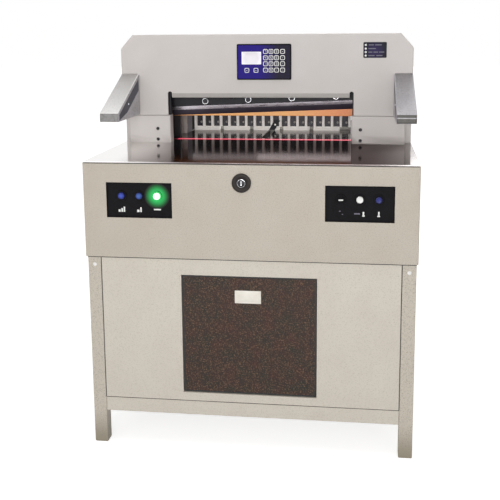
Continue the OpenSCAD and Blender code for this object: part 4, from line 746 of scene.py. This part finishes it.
# small screws on the dark backing, one in each gap of the comb
combScrew = {"radius": 4.5, "rise": 3.0, "socket": 2.2, "deep": 1.8}
gaps = np.arange(combSetup["bars"] - 1) + 0.5
gapMiddles = combLow[0] + combSetup["bar"] / 2 + combSetup["pitch"] * gaps
screwHeight = combLow[2] + combSetup["screwRise"]
gapPlaces = [(x + combSetup["screwAside"], combMiddle, screwHeight) for x in gapMiddles]
putPiece("comb_screws", [(repeated(turned(socketHead(**combScrew), spokes=24), gapPlaces), carriageEnamel)],
         "gauge")
# a slanting black stay with a bright rivet of the pads' nylon, whose glow is painted light, on the comb's
# front over the slot of the table: right, up
stay = {"corners": ((-12, 1), (13, 1), (36, 42), (11, 42)), "thick": 3.0,
        "rivet": (15, 0, 24), "rivetRadius": 3.5}
screwAxis = axisOf("lead_screw")
stayCentre = np.array([screwAxis[0], combLow[1], combLow[2]])
stayFlat = np.array([stay["corners"], stay["corners"]], float)
rivetRows = [(stay["rivetRadius"], 2), *stepped(stay["rivetRadius"], stay["thick"], (0, 0.6), (-1, 1.4))]
putPiece("gauge_stay", [
    (shellOf(laid(stayFlat, np.array([-0.5, stay["thick"]]), stayCentre, "front")), barBlack),
    (turned(rivetRows, stayCentre + stay["rivet"], spokes=24), padNylonGlowing)], "gauge")
# rubber flaps that carry the back cover's lips past the comb, so that no daylight comes round its ends
flap = {"deep": 86.0, "lap": 3.0, "tall": 104.0, "lift": 1.0, "thick": 1.6, "aside": 5.0}
lipRear = corner("hood_back_cover")[1][1]
flapY, flapZ = lipRear - flap["lap"] + flap["deep"] / 2, tableTop + flap["tall"] / 2 + flap["lift"]
flapRow = (flapY, flapZ, flap["deep"], flap["tall"])
putPiece("lip_flaps", [
    (bars([flapRow], x - flap["thick"] / 2, x + flap["thick"] / 2, side="right"), rubber)
    for x in (combLow[0] - flap["aside"], combHigh[0] + flap["aside"])])
print("knife, clamp and gauge dressed")


# drive of the back gauge

screwThread = {"radius": 10.0, "depth": 1.6, "lead": 20.0, "starts": 2}
pulley = {"radius": 24.0, "width": 10.0, "teeth": 30, "toothDepth": 1.2, "flange": 1.0, "shaft": 6.6}


def toothedPulley(axis, tail):
    # a ribbed drum between two thin flanges, with a hub in the middle
    radius, flange, width = (pulley[key] for key in ("radius", "flange", "width"))
    centre = (axis[0], tail - width, axis[2])
    rim = stepped(radius, 0, (-2, 0), (0, 0.2), (0, flange - 0.2), (-1.2, flange))
    tailRim = [(row, width - flange + rise) for row, rise in rim[:3]] + stepped(
        radius, width, (-1.5, 0), (-8, 0), (-9, -1.5), (-14, -1.5), (-15, 0))
    drum = ribbed(radius - 0.2, pulley["toothDepth"], pulley["teeth"], flange / 2, width - flange / 2,
                  centre, "back")
    shells = (turned(rim, centre, "back"), drum, turned(tailRim, centre, "back"))
    return [(shell, brightSteel) for shell in shells]


pulleyAxis = np.array([screwAxis[0], *axisOf("motor_pulley")[1:]])
screwLength, shaftLength = (sizeOf(node)[1] - pulley["width"] for node in ("lead_screw", "motor_pulley"))
putPiece("lead_screw_thread", [
    (threaded(**screwThread, length=screwLength, centre=screwAxis, side="back"), brightSteel),
    *toothedPulley(screwAxis, corner("lead_screw")[1][1])], "lead_screw", ["lead_screw"])
shaftRows = stepped(pulley["shaft"], 0, (-0.6, 0), (0, 0.6), (0, shaftLength + 0.5))
putPiece("motor_pulley_toothed", [
    (turned(shaftRows, pulleyAxis, "back"), brightSteel),
    *toothedPulley(pulleyAxis, corner("motor_pulley")[1][1])],
    "motor_pulley", ["motor_pulley"])
for row in (("gauge_belt", rubber, 0.3), ("screw_bearings", castIron, 1.5), ("gauge_motor", motorBlack, 2.0)):
    softNode(*row)
print("gauge drive dressed")


# hydraulic unit

pumpMotor = {"radius": 75.0, "fins": 36, "finDepth": 5.0, "cowl": 34.0, "bell": 26.0, "foot": 24.0,
             "box": 60.0, "boxCorner": 5.0}
motorLow, motorHigh = corner("pump_motor")
tankLow, tankHigh = corner("oil_tank")
radius, cowl, foot, box = (pumpMotor[key] for key in ("radius", "cowl", "foot", "box"))
motorAxis = np.array([motorLow[0], motorHigh[1] - radius, motorHigh[2] - radius])
motorLength = motorHigh[0] - motorLow[0]
bellStart = motorLength - pumpMotor["bell"]
footRows = [(quarter * motorLength, 0, foot, 2 * radius - foot) for quarter in (0.25, 0.75)]
cowlRows = stepped(radius, 0, (-8, 0), (-2, 1.5), (0, 5), (0, cowl), (-6, cowl + 2))
bellRows = [*stepped(radius, bellStart, (-6, 0), (0, 2)),
            *stepped(radius, motorLength, (0, -8), (-5, -2), (-10, 0))]
ringRows = stepped(radius, 0, (-14, -0.6), (-14, 0.6), (-20, 0.6), (-20, -0.6))
boxRows = [(0, 0), *stepped(0, radius, (0, 16), (3, 16), (3, 18), (0, 18), (0, 23), (1, 24))]
putPiece("pump_motor_finned", [
    (turned(cowlRows, motorAxis, "right", 64), motorEnamel),
    (ribbed(radius, pumpMotor["finDepth"], pumpMotor["fins"], cowl - 2, bellStart + 2, motorAxis, "right"),
     motorEnamel),
    (turned(bellRows, motorAxis, "right", 64), motorEnamel),
    (turned(ringRows, motorAxis, "left", looped=True), blackOxide),
    (bars(footRows, tankHigh[2] - motorAxis[2], -radius / 2, motorAxis, "top"), motorEnamel),
    (plate(box, box, pumpMotor["boxCorner"], boxRows, motorAxis + (motorLength / 2, 0, 0)), motorEnamel)],
    stands=["pump_motor"])
softNode("oil_tank", tankEnamel, 4.0)
# on the tank: x and y of the filler cap with its neck and lid, x and z of the sight glass with its frame
fillerCap = {
    "place": (165.0, -110.0), "neck": ((24, -1), (24, 6), (20, 7), (20, 10)),
    "grip": {"radius": 23, "depth": 1.2, "ribs": 24, "start": 9, "stop": 27},
    "lid": ((20, 25), (21.5, 27.5), (19, 29), (6, 29.5))}
capCentre = (*fillerCap["place"], tankHigh[2])
putPiece("tank_filler_cap", [
    (turned(fillerCap["neck"], capCentre, "top"), brightSteel),
    (ribbed(**fillerCap["grip"], centre=capCentre, side="top"), panelPlastic),
    (turned(fillerCap["lid"], capCentre, "top"), panelPlastic)])
sightGlass = {"place": (-150.0, 315.0), "frame": (26, 92, 10), "glass": (12, 78, 5)}
glassX, glassZ = sightGlass["place"]
glassCentre = (glassX, tankLow[1], glassZ)
frameRows = [(0, -1), (0, 4), (1.5, 6), (6, 6), (6.5, 4.5)]
putPiece("tank_sight_glass", [
    (plate(*sightGlass["frame"], frameRows, glassCentre), panelPlastic),
    (plate(*sightGlass["glass"], [(0, 4), (0.3, 5.2)], glassCentre), smokedAcrylic)])
valveCoils = {"tall": 49.0}         # black coils on top of the bright block
coilFoot = corner("valve_block")[1][2] - valveCoils["tall"]
softNode("hydraulic_pump", castIron, 2.0)
softNode("valve_block", brightSteel, 1.2, paint=[
    (lambda middle, normal: middle[:, 2] > coilFoot, panelPlastic)])
for row in (("oil_pipes", brightSteel, 0.3), ("knife_cylinder", frameEnamel, 1.5),
            ("clamp_cylinder", frameEnamel, 1.5)):
    softNode(*row)
print("hydraulic unit dressed")


# hood fittings: screws, keypad, indicator plate, beam lamps

coverScrew = {"radius": 6.0, "rise": 3.0, "socket": 3.1, "deep": 2.2}
low, high = corner("cover_screws")
screwFoot = low[1] + coverScrew["rise"]
low, high = low + coverScrew["radius"], high - coverScrew["radius"]
coverPlaces = [(x, screwFoot, z) for x in (low[0], high[0]) for z in (low[2], high[2])]
putPiece("cover_screws_socket", [(repeated(turned(socketHead(**coverScrew)), coverPlaces), blackOxide)],
         stands=["cover_screws"])

keypadSetup = {
    "rows": (1310.6, 1287.8, 1266.2, 1243.4), "columns": (5.8, 25.9, 46.3, 68.3),     # places of the keys
    "lone": ((-63.0, 1242.6), (-29.3, 1242.6)),
    "key": (17.4, 17.4, 4.5), "face": (12.4, 12.4, 3.0),        # width, height, corner
    "corner": 5.0, "rim": 9.0, "filmCorner": 3.0, "lcdCorner": 2.5,
    "digits": "789 456 123  0    ",         # a space is a key with a plain bar
}
strokes = {     # the seven strokes of a plain digit: right, up, width, height
    "a": (0, 3.6, 4.8, 1.3), "b": (2.0, 1.8, 1.3, 4.2), "c": (2.0, -1.8, 1.3, 4.2), "d": (0, -3.6, 4.8, 1.3),
    "e": (-2.0, -1.8, 1.3, 4.2), "f": (-2.0, 1.8, 1.3, 4.2), "g": (0, 0, 4.8, 1.3)}
digitStrokes = {"0": "abcdef", "1": "bc", "2": "abged", "3": "abgcd", "4": "fgbc", "5": "afgcd",
                "6": "afgedc", "7": "abc", "8": "abcdefg", "9": "abcdfg", " ": "g"}
padWide, padThick, padTall = sizeOf("keypad_panel")
padBack = corner("keypad_panel")[1][1]
padCentre = axisOf("keypad_panel", padBack)
keyPlaces = [(x, z) for z in keypadSetup["rows"] for x in keypadSetup["columns"]] + list(keypadSetup["lone"])
keyShifts = [(x, padBack, z) for x, z in keyPlaces]
digitRows = [(x + strokes[part][0], z + strokes[part][1], *strokes[part][2:])
             for (x, z), mark in zip(keyPlaces, keypadSetup["digits"]) for part in digitStrokes[mark]]
rimRows = [(0, 0), *stepped(0, padThick, (0, -1.4), (0.8, -0.2), (2.0, 0), (4.2, 0), (4.6, -0.4))]
filmRows = stepped(0, padThick, (0, -0.6), (0.2, -0.2))
filmWide, filmTall = padWide - keypadSetup["rim"], padTall - keypadSetup["rim"]
keyRows = stepped(0, padThick, (0, -0.4), (0, -0.1), (0.2, 0))
faceRows = stepped(0, padThick, (0, -0.2), (0, 0.05), (0.4, 0.15))
putPiece("keypad_membrane", [
    (plate(padWide, padTall, keypadSetup["corner"], rimRows, padCentre), panelPlastic),
    (plate(filmWide, filmTall, keypadSetup["filmCorner"], filmRows, padCentre), keypadFilm),
    (repeated(plate(*keypadSetup["key"], keyRows, steps=4), keyShifts), inkWhite),
    (repeated(plate(*keypadSetup["face"], faceRows, steps=4), keyShifts), keypadFilm),
    (bars(digitRows, padThick + 0.1, padThick + 0.22, (0, padBack, 0)), inkWhite)],
    stands=["keypad_panel"])
lcdWide, _, lcdTall = sizeOf("lcd_window")
lcdRows = stepped(0, padThick, (0, -0.5), (0, 0), (0.6, 0.2), (3.2, 0.2), (3.6, -0.1))
lcdShell = plate(lcdWide, lcdTall, keypadSetup["lcdCorner"], lcdRows, axisOf("lcd_window", padBack))
putPiece("lcd_screen", [(lcdShell, lcdGlass)], stands=["lcd_window"])

indicator = {
    "middle": (400.5, 1314.0), "size": (83.0, 56.0, 3.5), "thick": 1.2,
    "dotX": 367.5, "dot": 3.8, "tall": 3.6,
    "lines": {          # x and width of the bars beside the dot at each height
        1332.0: ((387, 18), (412, 24)), 1319.0: ((390, 26),),
        1306.5: ((384, 14), (403, 16), (424, 18)), 1294.0: ((388, 22), (416, 22))}}
plateX, plateZ = indicator["middle"]
thick = indicator["thick"]
plateRows = [(0, -0.5), (0, thick - 0.4), (0.4, thick)]
wordRows = [(x, z, width, indicator["tall"]) for z, words in indicator["lines"].items() for x, width in words]
dotRows = [*stepped(indicator["dot"], 0, (0, 0.5), (0, 1.2), (-0.8, 1.7)), (1.2, 2.0)]
dotShifts = [(indicator["dotX"], hoodFront, z) for z in indicator["lines"]]
putPiece("indicator_plate", [
    (plate(*indicator["size"], plateRows, (plateX, hoodFront, plateZ)), indicatorFilm),
    (repeated(turned(dotRows, spokes=24), dotShifts), inkWhite),
    (bars(wordRows, thick - 0.1, thick + 0.1, (0, hoodFront, 0)), inkGrey)])

beamSetup = {"ahead": 156.0, "rise": 158.0, "radius": 3.2, "inset": 2.5}    # from hood, table and windows
beamRows = [*stepped(beamSetup["radius"], 0, (0, -0.5), (0, 0.2), (-0.8, 0.9)), (0.8, 1.2)]
beamY, beamZ = hoodFront - beamSetup["ahead"], tableTop + beamSetup["rise"]
beamEnds = ((windowLow[0] + beamSetup["inset"], "right"), (windowHigh[0] - beamSetup["inset"], "left"))
putPiece("beam_lamps", [(turned(beamRows, (x, beamY, beamZ), side, 24), beamLamp) for x, side in beamEnds])
print("hood fittings in place")


# apron controls

controlSetup = {"recess": 6.0, "print": 0.2, "signRise": 815.0, "signs": {
    # plain marks under each control: right, up, width, height from its axis
    "left_blue_button": ((-8, -4, 7, 8), (0.5, -2, 5.5, 12), (8, 0.5, 5, 17)),
    "middle_blue_button": ((-4.5, -4, 8, 8), (4.5, 0, 5, 16)),
    "green_button": ((0, 1.5, 23, 4.5),),
    "white_button": ((11.5, 2, 5, 10), (12, -6, 7.5, 4.5)),
    "right_blue_button": ((0.5, 1.5, 4.5, 13), (0, -6.5, 8.5, 4)),
}, "faint": {"selector_knob": ((-3, 8, 5, 2.5), (5, -2, 3, 2.5)), "white_button": ((-8, 0.5, 18, 4),)},
    "spill": ((42.0, 16.6, 0.0), (16.3, 11.7, 4.0))}    # outer and inner radius and height of the lit rings
for node in ("left_button_panel", "right_button_panel"):
    softNode(node, panelPlastic, 0.8)
panelFloor = corner("left_button_panel")[0][1] + controlSetup["recess"]
# dished lenses with a rounded rim on their plungers
for node, lens, slot in (
        ("left_blue_button", leftLens, "button_blue"), ("middle_blue_button", middleLens, "button_blue"),
        ("green_button", greenLens, "button_green"), ("white_button", whiteLens, "button_white"),
        ("right_blue_button", rightLens, "button_blue")):
    wide, deep, _ = sizeOf(node)
    lensRows = [*stepped(wide / 2, -deep, (-0.4, 0), (-0.1, 0.4)),
                *stepped(wide / 2, 0, (-0.1, -1.8), (-0.5, -0.7), (-1.4, -0.1), (-2.2, 0)),
                (0.3 * wide, -0.25), (0.15 * wide, -0.4)]
    putPiece(node + "_lens", [(turned(lensRows, axisOf(node)), lens)], node, [node])
for kind, tint in (("signs", inkWhite), ("faint", inkGrey)):
    signRows = [(axisOf(node)[0] + right, controlSetup["signRise"] + up, width, height)
                for node, marks in controlSetup[kind].items() for right, up, width, height in marks]
    signShell = bars(signRows, -0.1, controlSetup["print"], (0, panelFloor, 0))
    putPiece("panel_" + kind, [(signShell, tint)])
putPiece("green_light", [
    (turned([(outer, rise - 0.05), (outer, rise + 0.12), (inner, rise + 0.12), (inner, rise - 0.05)],
            axisOf("green_button", panelFloor), looped=True), greenSpill)
    for outer, inner, rise in controlSetup["spill"]])

selector = {"base": 11.0, "lever": (19.0, 7.0, 3.2), "stripe": (15.0, 4.4, 2.0)}
knobAxis, knobDeep = axisOf("selector_knob"), sizeOf("selector_knob")[1]
baseRows = [*stepped(selector["base"], -knobDeep, (-0.4, 0), (0, 0.4)),
            *stepped(selector["base"], 0, (0, -9.2), (-0.8, -8.4), (-3, -8.0))]
putPiece("selector_lever", [
    (turned(baseRows, knobAxis), panelPlastic),
    (plate(*selector["lever"], [(0, -9), (0, -1.0), (0.3, -0.4), (1.0, 0)], knobAxis), panelPlastic),
    (plate(*selector["stripe"], [(0, -0.3), (0.1, 0.12)], knobAxis), inkWhite)],
    "selector_knob", ["selector_knob"])

lockSetup = {"plate": 31.0, "bore": 14.1, "plug": 13.4, "ring": 12.0, "slot": (3.2, 15.0, 1.4)}
rosetteThick, plugDeep = sizeOf("lock_plate")[1], sizeOf("lock_plug")[1]
rosetteRows = [*stepped(lockSetup["plate"], 0, (0, -rosetteThick), (0, -2.4), (-0.8, -0.9), (-2.6, 0)),
               *stepped(lockSetup["bore"], 0, (5, 0), (3.5, -1.0), (0, -1.4), (0, -rosetteThick))]
putPiece("lock_rosette", [(turned(rosetteRows, axisOf("lock_plate"), spokes=72, looped=True), lockPlastic)],
         stands=["lock_plate"])
plugAxis = axisOf("lock_plug")
keyRim = [*stepped(lockSetup["plug"], 0, (-1.2, -plugDeep), (-1, -8.6), (0, -8), (0, -0.9), (-0.6, -0.1)),
          *stepped(lockSetup["ring"], 0, (0.3, 0), (-0.2, -0.7), (-0.4, -3))]
keyFace = [*stepped(lockSetup["ring"], 0, (-0.5, -3.4), (-0.5, -1.7), (-1, -1.4)), (4, -1.3)]
slotRows = [(0, -1.8), (0, -1.0), (0.4, -0.7), (1.1, -0.8)]
putPiece("lock_plug_keyway", [
    (turned(keyRim, plugAxis), chrome), (turned(keyFace, plugAxis), blackOxide),
    (plate(*lockSetup["slot"], slotRows, plugAxis, steps=4), chrome)],
    "lock_plug", ["lock_plug"])

# painted shade: black strips round the door's edges, for the shade of the gap round it: right, up, width,
# height
edging = {"wide": 4.5, "low": -1.0, "proud": 0.3, "gap": 1.0}
wide = edging["wide"]
halfWide, _, halfTall = (sizeOf("access_door") - wide - edging["gap"]) / 2
edgingRows = [*((x, 0, wide, 2 * halfTall + wide) for x in (-halfWide, halfWide)),
              *((0, z, 2 * halfWide - wide, wide) for z in (-halfTall, halfTall))]
putPiece("door_edging", [(bars(edgingRows, edging["low"], edging["proud"], axisOf("access_door")), rubber)],
         "access_door")
doorLabel = {"middle": (-3.0, 529.5), "size": (86.0, 43.0, 1.5), "thick": 0.4}
labelX, labelZ = doorLabel["middle"]
labelRows = [(0, -0.2), *stepped(0, doorLabel["thick"], (0, -0.1), (0.2, 0))]
putPiece("door_label", [(plate(*doorLabel["size"], labelRows, (labelX, doorLow[1], labelZ)), labelPaper)],
         "access_door")
print("controls in place")


# fasteners of the panels and the back cover

panelScrews = {"radius": 5.0, "rise": 2.6,
               "back": ((515, 995), (515, 1160), (515, 1315), (340, 1350), (0, 1350)),
               "rear": ((470, 187), (470, 538), (470, 888), (0, 187), (0, 888)),
               "sides": ((-590, 187), (-228, 187), (133, 187), (-590, 636), (-228, 636), (133, 636))}
domeRows = [*stepped(panelScrews["radius"], 0, (0, -0.3), (0, 0.6), (-0.6, 1.7), (-1.8, panelScrews["rise"])),
            (2.2, panelScrews["rise"]), (1.9, 2.3, 6), (1.8, 1.0, 6)]
backY, rearY, sideX = hoodHigh[1], corner("rear_panel")[1][1], corner("right_side_panel")[1][0]
backPlaces = {(flip * x, y, z) for y, places in ((backY, panelScrews["back"]), (rearY, panelScrews["rear"]))
              for x, z in places for flip in (-1, 1)}
screwPlaces = {"back": sorted(backPlaces), "left": [(-sideX, y, z) for y, z in panelScrews["sides"]],
               "right": [(sideX, y, z) for y, z in panelScrews["sides"]]}
putPiece("panel_screws", [(repeated(turned(domeRows, side=side, spokes=24), places), brightSteel)
                          for side, places in screwPlaces.items()])
print("panel screws in place")


# stage

stageSetup = {"floorHalf": 30.0, "floor": "#EDEDED", "near": (1.2, 0.66), "far": (5.0, 0.9), "sky": "#FFFFFF",
              "fill": 0.31}        # near and far: metres from the middle and the white added there
lampSetup = {     # place in metres, width in metres, watts
    "key": ((-2.2, -4.2, 2.0), 2.4, 25.0),
    "fill": ((2.4, -4.2, 1.4), 2.2, 16.0),
    "front": ((0.0, -4.6, 1.2), 1.6, 62.0),
    "top": ((0.2, -0.6, 3.6), 2.6, 34.0),
    "rear": ((0.5, 3.2, 2.6), 2.2, 28.0),
}
aim = Vector((0.0, -0.3, 0.85))


def seenRays(tree):
    # 1 for rays that start at the eye, at shiny surfaces or in glass, 0 for the rest
    path = addNode(tree, "LightPath").outputs
    seen = path["Is Camera Ray"]
    for kind in ("Is Glossy Ray", "Is Transmission Ray"):
        seen = addNode(tree, "Math", {0: seen, 1: path[kind]}, operation="MAXIMUM").outputs[0]
    return seen


def putStage(setup):
    # a flat floor; the eye, metal and glass see floor and sky as white, other rays see plain soft light
    half = setup["floorHalf"]
    mesh = bpy.data.meshes.new("floor")
    corners = [(-half, -half, 0), (half, -half, 0), (half, half, 0), (-half, half, 0)]
    mesh.from_pydata(corners, [], [(0, 1, 2, 3)])
    floor = bpy.data.objects.new("floor", mesh)
    scene.collection.objects.link(floor)
    finish = bpy.data.materials.new("studio_floor")
    tree = emptyTree(finish)
    away = addNode(tree, "VectorMath", {0: addNode(tree, "TexCoord").outputs["Object"]}, operation="LENGTH")
    white = addNode(tree, "MapRange", {0: away.outputs["Value"], 1: setup["near"][0], 2: setup["far"][0],
                                       3: setup["near"][1], 4: setup["far"][1]}).outputs[0]
    lift = addNode(tree, "Math", {0: seenRays(tree), 1: white}, operation="MULTIPLY").outputs[0]
    shader = addNode(tree, "BsdfPrincipled", {
        "Base Color": linear(setup["floor"]), "Roughness": 0.9, "Specular IOR Level": 0.0,
        "Emission Color": linear(setup["sky"]), "Emission Strength": lift})
    addNode(tree, "OutputMaterial", {"Surface": shader.outputs[0]})
    mesh.materials.append(finish)
    scene.world = bpy.data.worlds.new("studio")
    tree = emptyTree(scene.world)
    strength = addNode(tree, "MapRange", {0: seenRays(tree), 3: setup["fill"], 4: 1.0}).outputs[0]
    back = addNode(tree, "Background", {"Color": linear(setup["sky"]), "Strength": strength})
    addNode(tree, "OutputWorld", {"Surface": back.outputs[0]})


def putLamps(lamps):
    # square area lamps, each turned to face the aim
    for name, (place, width, power) in lamps.items():
        lamp = bpy.data.lights.new(name, "AREA")
        lamp.size = width
        lamp.energy = power
        holder = bpy.data.objects.new(name, lamp)
        holder.location = place
        holder.rotation_euler = (aim - Vector(place)).to_track_quat("-Z", "Y").to_euler()
        scene.collection.objects.link(holder)


putStage(stageSetup)
putLamps(lampSetup)
print("stage and lamps set")
